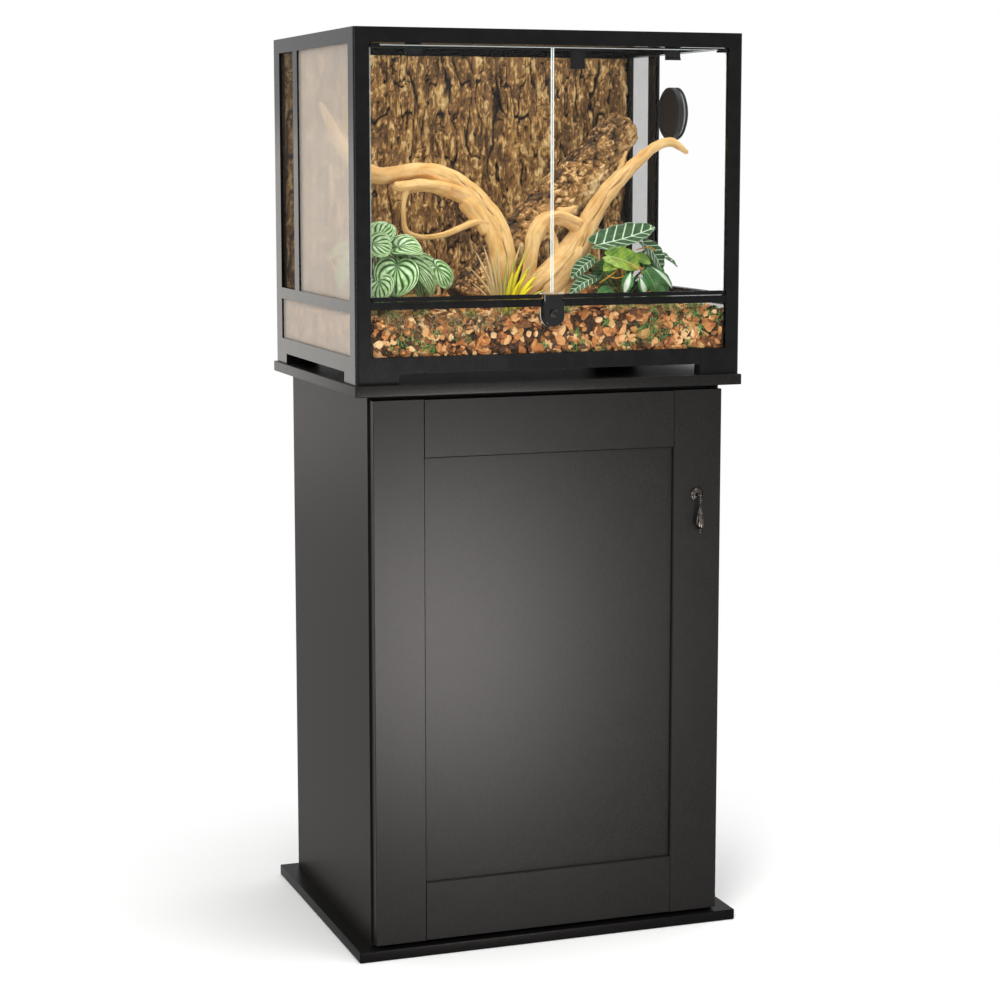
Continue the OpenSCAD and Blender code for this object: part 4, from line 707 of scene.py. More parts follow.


# Weathered wood: pale gold, streaked along the grain, greyer at the knots, and dark in the cracks as painted
# shade
def driftFinish(name, pale, mid, deep):
    f = Finish(name)
    along = f.mark("grain", out=1)
    streak = f.noise(f.stretched(along, 1, 1, 0.07), 360, 5.0, 0.65)
    broad = f.noise(f.stretched(along, 1, 1, 0.20), 110, 3.0, 0.6)
    patch = f.noise(f.place(), 34, 4.0, 0.6)
    colour = f.ramp(broad * 0.40 + streak * 0.35 + patch * 0.25,
                    (0.33, deep), (0.44, mid), (0.56, pale), (0.70, mid))
    warm = f.noise(f.place(1, 1, 0.7), 15, 3.0, 0.6).rise(0.50, 0.68)
    colour = f.blendColour(warm * 0.34, colour, "#c4873f")
    stain = f.noise(f.stretched(along, 1, 1, 0.12), 170, 3.0, 0.65).rise(0.54, 0.70)
    colour = f.blendColour(stain * 0.42, colour, deep)
    split = f.noise(f.stretched(along, 1, 1, 0.035), 520, 3.0, 0.6).rise(0.60, 0.70)
    colour = f.blendColour(split * 0.34, colour, "#7a4f24")
    broken = f.noise(f.stretched(along, 1, 1, 0.5), 70, 3.0, 0.6).rise(0.40, 0.60)
    # Painted shade: the cracks darken towards deep brown
    colour = f.blendColour(f.mark("crack").rise(0.30, 0.95) * broken * 0.85, colour, "#5a3819")
    return f.skin(colour, streak * 0.2 + 0.46, 0.3, streak * 0.6 + broad * 0.4 - split * 0.4, 0.0014, 0.8)


leftRoutes = {
    "trunk": [[-0.07, -0.30, -0.02, 22], [-0.068, -0.30, 0.085, 20], [-0.070, -0.285, 0.17, 19],
              [-0.072, -0.27, 0.257, 19], [-0.105, -0.24, 0.336, 18], [-0.171, -0.21, 0.412, 17],
              [-0.264, -0.19, 0.476, 17], [-0.37, -0.18, 0.522, 16], [-0.481, -0.17, 0.545, 14],
              [-0.605, -0.17, 0.533, 13], [-0.73, -0.16, 0.515, 15], [-0.857, -0.04, 0.61, 13],
              [-0.895, 0.12, 0.715, 10], [-0.925, 0.25, 0.80, 4]],
    "splinter": [[-0.20, -0.21, 0.425, 12], [-0.30, -0.215, 0.462, 13], [-0.40, -0.235, 0.482, 11],
                 [-0.50, -0.25, 0.490, 9.5], [-0.58, -0.265, 0.480, 8.5], [-0.655, -0.28, 0.482, 6]],
    "knuckle": [[-0.12, -0.25, 0.30, 13], [-0.19, -0.23, 0.375, 14], [-0.27, -0.21, 0.435, 13]],
    "twig": [[-0.58, -0.265, 0.475, 5], [-0.600, -0.28, 0.44, 4.2], [-0.607, -0.29, 0.395, 3.6],
             [-0.604, -0.30, 0.335, 4.2], [-0.590, -0.30, 0.309, 4.6], [-0.545, -0.30, 0.296, 4.2],
             [-0.476, -0.30, 0.290, 4.0], [-0.385, -0.30, 0.300, 4.4], [-0.288, -0.28, 0.326, 5],
             [-0.19, -0.26, 0.352, 6.5], [-0.11, -0.25, 0.335, 9]]}
rightRoutes = {
    "limb": [[0.215, -0.34, -0.01, 17], [0.247, -0.34, 0.08, 15], [0.283, -0.34, 0.166, 15],
             [0.338, -0.34, 0.255, 16], [0.395, -0.34, 0.343, 15], [0.470, -0.35, 0.436, 13],
             [0.552, -0.37, 0.507, 12], [0.639, -0.39, 0.567, 10], [0.717, -0.41, 0.622, 9],
             [0.799, -0.42, 0.657, 9], [0.867, -0.42, 0.644, 7], [0.928, -0.43, 0.607, 3]],
    "spurLow": [[0.520, -0.35, 0.465, 9], [0.550, -0.365, 0.515, 6], [0.566, -0.38, 0.560, 4],
                [0.588, -0.40, 0.618, 1.6]],
    "spurHigh": [[0.570, -0.36, 0.510, 8], [0.640, -0.335, 0.562, 6], [0.712, -0.31, 0.624, 2.2]],
    "foot": [[-0.03, -0.40, -0.01, 15], [0.025, -0.385, 0.075, 15], [0.095, -0.37, 0.120, 14],
             [0.165, -0.355, 0.152, 14], [0.236, -0.345, 0.195, 14], [0.315, -0.335, 0.27, 13],
             [0.375, -0.33, 0.335, 9]],
    "web": [[0.13, -0.36, 0.06, 15], [0.215, -0.35, 0.115, 18], [0.285, -0.345, 0.185, 17],
            [0.345, -0.34, 0.26, 14]],
    "loop": [[0.02, -0.37, 0.05, 12], [0.060, -0.350, 0.15, 10], [0.078, -0.338, 0.23, 10.5],
             [0.105, -0.328, 0.300, 12.5], [0.150, -0.315, 0.346, 13], [0.215, -0.31, 0.368, 11],
             [0.285, -0.315, 0.352, 11], [0.36, -0.33, 0.320, 13]],
    "inner": [[0.215, -0.345, 0.185, 10], [0.222, -0.335, 0.235, 5], [0.210, -0.33, 0.280, 3.5],
              [0.190, -0.325, 0.315, 4], [0.150, -0.32, 0.340, 8]],
    "spine": [[0.225, -0.31, 0.372, 8], [0.290, -0.30, 0.386, 5], [0.340, -0.295, 0.405, 2]]}

print("driftwood")
driftLeft = joined([
    limb(leftRoutes["trunk"], 72, 1.5, (0.11, 2, 0.012), (2.0, 20),
         [(262, -0.004, 10, 130, 0.13, 7), (80, 0.003, 60, 240, 0.09, 3), (200, 0.004, 180, 330, 0.12, 4),
          (300, -0.002, 90, 260, 0.06, 2.5)], (0.20, 0), 31),
    limb(leftRoutes["splinter"], 48, 1.5, (0.12, 3, 0.03), (1.7, 11),
         [(240, 0.004, 20, 110, 0.10, 2)], (0, 0.1), 37),
    limb(leftRoutes["knuckle"], 48, 1.5, (0.10, 3, 0.03), (1.4, 13), [], (0, 0), 39),
    limb(leftRoutes["twig"], 28, 1.8, (0.06, 3, 0.05), (0.6, 10), [], (0.2, 0.35), 41)])
makePiece("driftwood_left_grown", driftLeft, driftFinish("driftwood_golden", "#ebc583", "#dcab62", "#bb803b"),
          "terrarium", ["driftwood_left"])
driftRight = joined([
    limb(rightRoutes["limb"], 64, 1.5, (0.13, 2, 0.016), (2.0, 18),
         [(250, 0.004, 30, 150, 0.10, 4), (120, -0.003, 80, 260, 0.09, 3), (285, 0.002, 90, 230, 0.06, 2)],
         (0.15, 0), 43),
    limb(rightRoutes["spurLow"], 28, 1.6, (0.08, 3, 0.04), (0.7, 8), [], (0.5, 0), 47),
    limb(rightRoutes["spurHigh"], 28, 1.6, (0.08, 3, 0.04), (0.7, 8), [], (0.5, 0), 51),
    limb(rightRoutes["foot"], 52, 1.5, (0.14, 3, 0.02), (1.9, 14),
         [(255, 0.006, 20, 90, 0.10, 3)], (0.1, 0.1), 53),
    limb(rightRoutes["loop"], 52, 1.5, (0.14, 3, 0.03), (1.7, 12),
         [(215, 0.008, 30, 110, 0.10, 2.5)], (0.1, 0.2), 57, (0, 1, 0.02)),
    limb(rightRoutes["web"], 52, 1.5, (0.12, 3, 0.02), (1.8, 15),
         [(240, 0.004, 20, 80, 0.09, 3)], (0, 0), 55),
    limb(rightRoutes["inner"], 36, 1.5, (0.12, 3, 0.04), (0.9, 9), [], (0.2, 0.4), 58, (0, 1, 0.02)),
    limb(rightRoutes["spine"], 28, 1.6, (0.08, 3, 0.04), (0.7, 8), [], (0.6, 0), 59)])
makePiece("driftwood_right_grown", driftRight, driftFinish("driftwood_pale", "#ecc98c", "#dcae68", "#b9803e"),
          "terrarium", ["driftwood_right"])

# A hollow knobbly log: the limb's rings with coarse and fine lumps, then over a ragged rim and down
# inside the bark to a closing point
cork = {"route": [[-0.13, 0.22, 0.02, 37], [0.02, 0.27, 0.150, 36], [0.22, 0.34, 0.292, 36],
                  [0.43, 0.42, 0.415, 35], [0.64, 0.49, 0.550, 33], [0.80, 0.53, 0.668, 31],
                  [0.868, 0.55, 0.722, 28]],
        "sides": 200, "rings": 280, "wall": 6.5, "deep": 60.0, "round": 32, "rim": 20, "ragged": 8, "lip": 26,
        "inside": 26}


# Height of the bark round the log, mm: knobs and crumbs from stepped noise, grit over them, soft lumps
# and deep pits. The place goes round the log, so that nothing meets in a seam
def corkHeight(wrapped):
    bent = wrapped + 4 * layers(wrapped, 16, 61, 3)[:, None] * [0.6, -0.5, 1.0]
    knob = stepped(layers(bent, (15, 15, 19), 67, 2) * 0.5 + 0.5, 5, 0.12)
    crumb = stepped(layers(bent, (7, 7, 9), 69, 2) * 0.5 + 0.5, 4, 0.16)
    seam = eased(np.abs(waves(bent, (12, 12, 17), 75)), 0.0, 0.20)
    grit = layers(wrapped, (4.5, 4.5, 6), 73, 3, 0.7)
    lump = layers(wrapped, (34, 34, 50), 71, 2)
    pit = eased(waves(wrapped, 9, 79), 0.40, 0.80)
    height = 7.5 * knob + 5.0 * crumb + 2.4 * seam + 2.4 * grit + 3.0 * lump - 4.0 * pit - 6.6
    # The second result, facet, marks spots that the colour paints as golden highlights
    return height, eased(layers(bent, (6, 6, 8), 81, 3, 0.7), 0.06, 0.36) * seam


def corkPiece():
    path, run = evenRoute(spot(cork["route"]), cork["rings"])
    ahead = unit(np.gradient(path[:, :3], axis=0))
    first = unit(np.cross(ahead, [0, 1, 0]))
    second = np.cross(ahead, first)
    turn = np.linspace(0, 2 * math.pi, cork["sides"], endpoint=False)[None]
    s = run[:, None]
    spoke = np.cos(turn)[..., None] * first[:, None] + np.sin(turn)[..., None] * second[:, None]
    wrapped = np.stack(np.broadcast_arrays(np.cos(turn) * cork["round"], np.sin(turn) * cork["round"], s), -1)
    height, facet = corkHeight(wrapped.reshape(-1, 3))
    radius = path[:, 3:4] + height.reshape(len(path), -1)
    rim = np.stack([np.cos(turn[0]) * cork["rim"], np.sin(turn[0]) * cork["rim"], 0 * turn[0]], -1)
    ragged = cork["ragged"] * layers(rim, 13, 83, 2)
    outer = path[:, None, :3] + spoke * radius[..., None]
    outer = outer + ahead[:, None] * (ragged * eased(s, run[-1] - cork["lip"], run[-1]))[..., None]
    depth = np.linspace(0, 1, cork["inside"])
    place = run[-1] - cork["deep"] * depth ** 1.2
    inPath = np.stack([np.interp(place, run, path[:, k]) for k in range(4)], 1)
    shut = np.sqrt(np.clip(1 - depth ** 6, 0, 1))[:, None]
    wall = cork["wall"] * (0.3 + 0.7 * eased(depth, 0, 0.2))[:, None]
    ripple = 1.6 * np.sin(5 * turn + 2.1), 1.0 * np.sin(11 * turn + depth[:, None] * 5)
    inner = (inPath[:, 3:4] - wall + ripple[0] + ripple[1]) * shut
    inside = inPath[:, None, :3] + spoke[-1][None] * inner[..., None] + ahead[-1] * (
        ragged * (1 - eased(depth, 0, 0.5))[:, None])[..., None]
    sides = cork["sides"]
    grid = np.concatenate([path[0, :3] + 0 * outer[:1], outer, inside])
    # tall: paler knobs, darker pits, partly painted light and shade; hollow: painted shade deeper inside
    tall = np.concatenate([np.zeros(sides), (height + 6) / 12, np.full(len(depth) * sides, 0.12)])
    hollow = np.concatenate([np.zeros((1 + len(path)) * sides), np.repeat(0.4 + 0.6 * depth, sides)])
    # lit: the side facing along (0.6, -0.45, -0.66) is painted lighter, painted light
    lit = np.clip(0.5 + 0.5 * (spoke @ np.array([0.6, -0.45, -0.66])), 0, 1)
    lit = np.concatenate([lit[:1], lit, 0.5 + 0 * inside[..., 0]])
    facet = np.concatenate([np.zeros(sides), facet, np.zeros(len(depth) * sides)])
    marks = {"height": ends(tall.reshape(-1, sides)), "hollow": ends(hollow.reshape(-1, sides)),
             "lit": ends(lit), "facet": ends(facet.reshape(-1, sides))}
    part = {"points": ends(grid), "faces": closedFaces(len(grid), sides), "marks": marks}
    makePiece("cork_log_knobbly", toFrame(part), corkFinish(), "terrarium", ["cork_log"])


# Cork bark: dark umber in the pits, golden brown on the knobs, partly painted light and shade; golden
# painted highlights on the facet spots, a painted lighter side from the lit mark, and painted shade that
# turns it nearly black inside the hollow
def corkFinish():
    f = Finish("cork_brown")
    crumb = f.noise(f.place(), 340, 5.0, 0.7)
    patch = f.noise(f.place(), 30, 3.0, 0.6)
    tone = f.mark("height") * 0.62 + crumb * 0.85 + patch * 0.34 + f.mark("lit") * 0.26 - 0.66
    tone = tone + f.mark("facet") * (crumb * 0.9 - 0.12)
    colour = f.ramp(tone, (0.12, "#1c120a"), (0.27, "#452e18"), (0.42, "#7a5830"), (0.56, "#ab7f48"),
                    (0.72, "#d9ad6e"), (0.90, "#f6d9a2"))
    colour = f.blendColour(f.mark("hollow").rise(0.1, 0.7) * 0.85, colour, "#140e09")
    return f.skin(colour, crumb * 0.2 + 0.62, 0.3, crumb, 0.0022, 0.9)


print("cork log")
corkPiece()


# Height of the soil's top, mm, at shares across and back: a slope to the back right and two slow waves
soil = {"x": 292.6, "front": -215.8, "back": 197.0, "foot": 25.2, "columns": 210, "rows": 150}


def soilTop(u, v):
    slope = 91 + 18 * (0.45 * u + 0.55 * v)
    return (slope + 2.2 * np.sin(np.radians(560 * u + 80)) * np.sin(np.radians(430 * v + 30))
            + 1.6 * np.sin(np.radians(1010 * u)) * np.sin(np.radians(890 * v + 120)))


def soilAt(x, y):
    return soilTop((x + soil["x"]) / (2 * soil["x"]), (y - soil["front"]) / (soil["back"] - soil["front"]))


def soilPiece():
    x, y = np.meshgrid(np.linspace(-soil["x"], soil["x"], soil["columns"]),
                       np.linspace(soil["front"], soil["back"], soil["rows"]))
    flat = np.stack([x.ravel(), y.ravel(), 0 * x.ravel()], -1)
    z = soilAt(x.ravel(), y.ravel()) - 2.5 + 1.8 * layers(flat, 16, 91, 3) + 0.8 * waves(flat, 4, 97)
    top = np.stack([x.ravel(), y.ravel(), z], -1)
    at = np.arange(x.size).reshape(x.shape)
    rim = np.concatenate([at[0, :-1], at[:-1, -1], at[-1, :0:-1], at[:0:-1, 0]])
    levels = [top[rim] * [1, 1, 1 - t] + [0, 0, soil["foot"] * t] for t in np.linspace(0, 1, 9)[1:]]
    points = np.concatenate([top, *levels])
    loops = [rim] + [x.size + k * len(rim) + np.arange(len(rim)) for k in range(8)]
    skirt = np.concatenate([np.stack([np.roll(a, -1), a, b, np.roll(b, -1)], -1)
                            for a, b in zip(loops, loops[1:])])
    part = {"points": points, "faces": [gridQuads(*x.shape), skirt, loops[8][::-1][None]], "marks": {}}
    makePiece("soil_bed", toFrame(part), soilFinish(), "terrarium", ["substrate"])


def soilFinish():
    f = Finish("soil_crumbs")
    crumb = f.noise(f.place(), 260, 5.0, 0.7)
    clump = f.noise(f.place(), 60, 3.0, 0.6)
    colour = f.ramp(crumb * 0.6 + clump * 0.4, (0.36, "#1a110b"), (0.48, "#3d2815"), (0.60, "#6b4623"),
                    (0.75, "#8d6034"))
    return f.skin(colour, 0.85, 0.2, crumb, 0.004, 1.0)


# Turns each row's x, y and z axes towards a normal, then round it by an angle
def turnTo(normals, spins):
    normals = unit(normals)
    helper = np.where(np.abs(normals[:, 2:3]) < 0.9, [[0.0, 0, 1]], [[1.0, 0, 0]])
    across = unit(np.cross(helper, normals))
    onward = np.cross(normals, across)
    c, s = np.cos(spins)[:, None], np.sin(spins)[:, None]
    return np.stack([across * c + onward * s, onward * c - across * s, normals], axis=-1)


# Flat flakes with an uneven outline: two rings of corners, the upper one drawn in, capped by fans
def flakes(rng, centres, normals, length, wide, thick, corners=7):
    count = len(centres)
    turn = (np.arange(corners) + rng.uniform(-0.3, 0.3, (count, corners))) * 2 * math.pi / corners
    reach = rng.uniform(0.72, 1.12, (count, corners))
    x, y = np.cos(turn) * reach * length[:, None] / 2, np.sin(turn) * reach * wide[:, None] / 2
    bow = 0.10 * (x ** 2) / length[:, None] * rng.choice([-1, 1], (count, 1))
    lower = np.stack([x, y, bow - thick[:, None] / 2 + rng.uniform(-0.3, 0.3, x.shape)], -1)
    shrink = rng.uniform(0.72, 0.98, (count, corners, 1))
    upper = np.concatenate([lower[..., :2] * shrink, (bow + thick[:, None] / 2)[..., None]], -1)
    local = np.concatenate([lower, upper], 1)
    swung = np.einsum("nij,nkj->nki", turnTo(normals, rng.uniform(0, 2 * math.pi, count)), local)
    points = centres[:, None] + swung
    ring = np.arange(corners)
    wall = np.stack([ring, np.roll(ring, -1), np.roll(ring, -1) + corners, ring + corners], -1)
    fan = np.stack([0 * ring[2:], ring[1:-1], ring[2:]], -1)
    lid = np.concatenate([fan + corners, fan[:, ::-1]])
    start = (2 * corners * np.arange(count))[:, None, None]
    return {"points": points.reshape(-1, 3), "faces": [(wall[None] + start).reshape(-1, 4),
            (lid[None] + start).reshape(-1, 3)],
            "marks": {"tone": np.repeat(rng.uniform(0, 1, count), 2 * corners)}}


# Chips on top of the soil lie nearly flat; those at the panes stand against the glass, cut flat by it.
# Counts, then where each kind lies, mm on the tank
chips = {"top": 2500, "front": 760, "side": 240, "seed": 5, "topX": 289, "topY": (-213, 194),
         "frontX": 279, "frontY": (-219.6, -216.5), "sideX": (293, 296), "sideY": (-195, 190), "low": 28}

# How far chips reach at the panes, and less at the lock, over the rails, by the posts and at the base
reach = {"paneX": 297.4, "paneY": -220.9, "lockX": 19, "lockFoot": 76, "lockY": -215.9, "railFoot": 102.5,
         "railX": 292.5, "postX": 281, "postY": -219.0, "baseTop": 40.5, "baseX": 295.7, "baseY": -219.2}


def holdBack(points):
    x, y, z = points.T
    lock = (np.abs(x) < reach["lockX"]) & (z > reach["lockFoot"])
    y[:] = np.maximum(y, np.where(lock, reach["lockY"], reach["paneY"]))
    half = np.where(z > reach["railFoot"], reach["railX"], reach["paneX"])
    x[:] = np.clip(x, -half, half)
    y[:] = np.maximum(y, np.where(np.abs(x) > reach["postX"], reach["postY"], -np.inf))
    base = z < reach["baseTop"]
    y[:] = np.maximum(y, np.where(base, reach["baseY"], -np.inf))
    half = np.where(base, reach["baseX"], np.inf)
    x[:] = np.clip(x, -half, half)
    z[:] = np.maximum(z, soil["foot"])


def chipPieces():
    rng = np.random.default_rng(chips["seed"])
    n = chips["top"]
    x, y = rng.uniform(-chips["topX"], chips["topX"], n), rng.uniform(*chips["topY"], n)
    top = np.stack([x, y, soilAt(x, y) + rng.uniform(-2.5, 1.2, n)], -1)
    topNormal = np.stack([rng.normal(0, 0.42, n), rng.normal(-0.1, 0.42, n), np.ones(n)], -1)
    n = chips["front"]
    x = rng.uniform(-chips["frontX"], chips["frontX"], n)
    share = rng.uniform(0, 1, n)
    z = chips["low"] + share * (soilAt(x, np.full(n, -214.0)) - 27)
    front = np.stack([x, rng.uniform(*chips["frontY"], n), z], -1)
    frontNormal = np.stack([rng.normal(0, 0.5, n), -np.ones(n), rng.normal(0.2, 0.5, n)], -1)
    n = chips["side"]
    sides = []
    for sign in (-1, 1):
        y = rng.uniform(*chips["sideY"], n)
        share = rng.uniform(0, 1, n)
        x = sign * rng.uniform(*chips["sideX"], n)
        sides.append((np.stack([x, y, chips["low"] + share * (soilAt(x, y) - 30)], -1),
                      np.stack([np.full(n, sign), rng.normal(0, 0.5, n), rng.normal(0.2, 0.5, n)], -1)))
    centres = np.concatenate([top, front, *[s[0] for s in sides]])
    normals = np.concatenate([topNormal, frontNormal, *[s[1] for s in sides]])
    count = len(centres)
    length = np.clip(rng.lognormal(2.52, 0.36, count), 6, 24)
    part = flakes(rng, centres, normals, length, length * rng.uniform(0.5, 0.85, count),
                  rng.uniform(1.6, 4.2, count))
    holdBack(part["points"])
    makePiece("bark_chips", toFrame(part), chipFinish(), "terrarium", smooth=False)


# Bark chips: from dark brown through orange tan to pale fir wood, each chip its own tone
def chipFinish():
    f = Finish("bark_chips")
    fibre = f.noise(f.place(), 420, 4.0, 0.65)
    tone = f.mark("tone") * 0.86 + fibre * 0.45 - 0.17
    colour = f.ramp(tone, (0.05, "#3a2212"), (0.20, "#754722"), (0.38, "#a9672f"), (0.56, "#c98748"),
                    (0.76, "#dca66c"), (0.94, "#f0d09c"))
    return f.skin(colour, fibre * 0.2 + 0.62, 0.25, fibre, 0.0014, 0.8)


print("substrate")
soilPiece()
chipPieces()


# Each strand's middle runs from its foot along its aim and is pulled by its bend times the share squared;
# the section is a flat diamond whose width falls to a tip. All strands are worked out together
def strands(foot, aim, bend, length, wide, thick, rings=6, tip=0.05, marks=None, toward=(0.02, 0.05, 1.0)):
    count = len(foot)
    u = np.linspace(0, 1, rings)[None, :, None]
    middle = foot[:, None] + (aim[:, None] * u + bend[:, None] * u ** 2) * length[:, None, None]
    ahead = unit(aim[:, None] + 2 * bend[:, None] * u)
    side = unit(np.cross(ahead, np.broadcast_to(toward, ahead.shape)) + 1e-9)
    face = np.cross(side, ahead)
    width = (np.sin(math.pi * (0.18 + 0.82 * u) ** 0.8) ** 0.6 * (1 - tip) + tip)
    width = np.where(u > 0.98, tip, width) * wide[:, None, None] / 2
    deep = np.where(u > 0.98, 0.3, 1.0) * thick[:, None, None] / 2
    points = np.stack([middle + side * width, middle + face * deep, middle - side * width,
                       middle - face * deep * 0.4], axis=2)
    ring = np.arange(4)
    wall = np.concatenate([np.stack([k * 4 + ring, (k + 1) * 4 + ring, (k + 1) * 4 + np.roll(ring, -1),
                                     k * 4 + np.roll(ring, -1)], -1) for k in range(rings - 1)])
    caps = np.stack([ring, ring[::-1] + 4 * (rings - 1)])
    faces = np.concatenate([wall, caps])[None] + (4 * rings * np.arange(count))[:, None, None]
    marks = {key: np.repeat(value, 4 * rings) for key, value in (marks or {}).items()}
    marks["up"] = np.tile(np.repeat(np.linspace(0, 1, rings), 4), count)
    return {"points": points.reshape(-1, 3), "faces": [faces.reshape(-1, 4)], "marks": marks}


# Foot and tip in shares of the planting space, width in mm, tone from dry (0) to green-yellow (1). The
# feet are listed where they show above the rail and go on down by the sink, mm
grass = {"sink": 27, "widen": 1.15}
grassBlades = [
    [(-0.163, -0.57, 0.060), (-0.279, -0.52, 0.242), 4, 0.06],
    [(-0.169, -0.57, 0.060), (-0.239, -0.55, 0.257), 4.5, 0.1],
    [(-0.150, -0.56, 0.060), (-0.273, -0.60, 0.202), 3.6, 0.05],
    [(-0.153, -0.55, 0.059), (-0.188, -0.50, 0.221), 4, 0.14],
    [(-0.150, -0.58, 0.060), (-0.312, -0.54, 0.178), 3.6, 0.08],
    [(-0.144, -0.58, 0.060), (-0.188, -0.60, 0.194), 4, 0.22],
    [(-0.136, -0.57, 0.060), (-0.025, -0.50, 0.269), 4.5, 0.32],
    [(-0.131, -0.57, 0.060), (0.024, -0.50, 0.253), 4.5, 0.42],
    [(-0.128, -0.58, 0.060), (-0.014, -0.54, 0.220), 5.5, 0.8],
    [(-0.131, -0.59, 0.060), (-0.039, -0.57, 0.199), 7, 0.95],
    [(-0.117, -0.58, 0.060), (0.005, -0.55, 0.179), 6, 0.85],
    [(-0.112, -0.60, 0.060), (0.043, -0.56, 0.144), 10, 1],
    [(-0.128, -0.60, 0.061), (-0.069, -0.54, 0.217), 5, 0.62],
    [(-0.142, -0.61, 0.061), (-0.101, -0.62, 0.163), 7, 0.92],
    [(-0.150, -0.60, 0.061), (-0.134, -0.62, 0.201), 5, 0.52],
    [(-0.155, -0.60, 0.061), (-0.177, -0.64, 0.157), 5, 0.4],
    [(-0.115, -0.59, 0.060), (0.013, -0.60, 0.108), 7, 0.95],
    [(-0.115, -0.57, 0.059), (0.090, -0.48, 0.164), 4.5, 0.45],
    [(-0.123, -0.54, 0.059), (0.074, -0.46, 0.206), 4, 0.3],
    [(-0.163, -0.59, 0.061), (-0.252, -0.64, 0.139), 4.5, 0.26],
    [(-0.166, -0.58, 0.061), (-0.316, -0.60, 0.124), 4, 0.12],
    [(-0.131, -0.55, 0.059), (-0.079, -0.48, 0.246), 4, 0.24],
    [(-0.139, -0.54, 0.059), (-0.145, -0.46, 0.258), 3.6, 0.1],
    [(-0.131, -0.61, 0.061), (-0.069, -0.64, 0.129), 7, 1],
    [(-0.139, -0.62, 0.061), (-0.123, -0.66, 0.123), 6, 0.88],
    [(-0.101, -0.58, 0.060), (0.095, -0.56, 0.094), 5, 0.72],
    [(-0.139, -0.56, 0.060), (-0.193, -0.48, 0.198), 3.6, 0.16],
    [(-0.112, -0.56, 0.059), (0.013, -0.46, 0.241), 4.2, 0.55],
    [(-0.117, -0.60, 0.060), (-0.020, -0.60, 0.158), 7, 0.98],
    [(-0.169, -0.61, 0.062), (-0.220, -0.66, 0.120), 4.5, 0.3]]


def grassPart():
    foot = spot([b[0] for b in grassBlades]) - [0, 0, grass["sink"]]
    tip = spot([b[1] for b in grassBlades])
    span = tip - foot
    length = np.linalg.norm(span, axis=1)
    rise = span / length[:, None]
    bend = rise * [0.42, 0.42, 0] - [0, 0, 0.08]
    wide = np.array([b[2] for b in grassBlades]) * grass["widen"]
    return strands(foot, rise - bend, bend, length, wide, wide * 0.22, 14, 0.06,
                   {"tone": np.array([b[3] for b in grassBlades])}, (0.3, 0.95, 0.12))


def grassFinish():
    f = Finish("grass_blades")
    streak = f.noise(f.place(1, 1, 0.15), 900, 2.0, 0.5)
    tone = f.mark("tone") + streak * 0.24 - 0.12
    colour = f.ramp(tone, (0.05, "#dcbf8e"), (0.26, "#cfb878"), (0.46, "#b9ad58"), (0.64, "#a3a83a"),
                    (0.84, "#d2cc24"), (1.0, "#f0df1e"))
    root = f.mark("up").rise(0.0, 0.35)
    colour = f.blendColour(root, f.blendColour(0.6, colour, "#9c7a42"), colour)
    return f.skin(colour, 0.48, 0.35, streak, 0.0004, 0.5)


# Curled sprigs of moss in clumps: feet scattered round each clump's middle, aims thrown outwards
def sprigPart(rng, clumps, each, reach, length, wide, outward):
    clumps = np.array(clumps, float)
    centre = np.repeat(clumps[:, :3], each, 0)
    spread = np.repeat(clumps[:, 3], each)[:, None]
    foot = centre + rng.normal(0, 1, centre.shape) * spread * reach
    aim = unit(rng.normal(0, 0.8, foot.shape) + outward)
    bend = rng.normal(0, 0.5, foot.shape)
    n = len(foot)
    return strands(foot, aim, bend, rng.uniform(*length, n), rng.uniform(*wide, n),
                   rng.uniform(*wide, n) * 0.6, 5, 0.2, {"tone": rng.uniform(0, 1, n)})


def mossFinish(name, dark, mid, pale):
    f = Finish(name)
    cloud = f.noise(f.place(), 90, 3.0, 0.6)
    tone = f.mark("tone") * 0.6 + f.mark("up") * 0.25 + cloud * 0.4 - 0.12
    colour = f.ramp(tone, (0.1, dark), (0.5, mid), (0.95, pale))
    return f.skin(colour, 0.62, 0.25, cloud, 0.0004, 0.4)


# Clumps of moss, mm on the tank: those in front, as x, y, z and a spread, press on the glass, and those on
# top, as x, y and a spread, lie on the soil
mossClumps = {"front": [[-217, -218, 60, 10], [-189, -218, 49, 8], [-235, -218, 57, 9], [-203, -218, 69, 8],
                        [145, -218, 69, 10], [178, -218, 76, 11], [211, -218, 83, 10], [244, -218, 67, 9],
                        [269, -218, 89, 8], [80, -218, 41, 8], [39, -218, 42, 7], [-150, -218, 70, 7],
                        [228, -218, 45, 7], [169, -218, 96, 8], [128, -218, 47, 8], [-196, -218, 58, 6],
                        [-178, -218, 70, 4], [-246, -216, 84, 5], [-130, -218, 62, 3], [-56, -218, 74, 3],
                        [40, -218, 64, 4], [52, -218, 52, 4], [150, -218, 68, 7], [168, -218, 74, 8],
                        [182, -218, 62, 8], [160, -218, 56, 6], [214, -218, 80, 6], [236, -218, 90, 6],
                        [262, -216, 88, 5], [118, -218, 48, 4], [92, -218, 84, 4], [-10, -218, 50, 3]],
              "top": [[-240, -196, 8], [-190, -180, 6], [30, -200, 6], [120, -188, 8], [150, -170, 9],
                      [186, -196, 9], [210, -176, 8], [242, -196, 8], [262, -160, 8], [226, -120, 9],
                      [250, -60, 9], [60, -150, 6], [-120, -190, 6], [-60, -196, 5], [-250, -120, 8],
                      [-180, -20, 9], [-240, 40, 10], [200, 40, 10], [255, 90, 9], [60, 60, 8],
                      [-20, 120, 8], [-120, 90, 9]]}

# Hay along the top of the soil at the left of the front pane, as x, y, z and a spread
hayClumps = [[-248, -218, 86, 9], [-226, -218, 84, 10], [-202, -218, 86, 10], [-178, -218, 85, 11],
             [-154, -218, 84, 11], [-130, -218, 86, 10], [-106, -218, 87, 9], [-86, -218, 88, 7]]


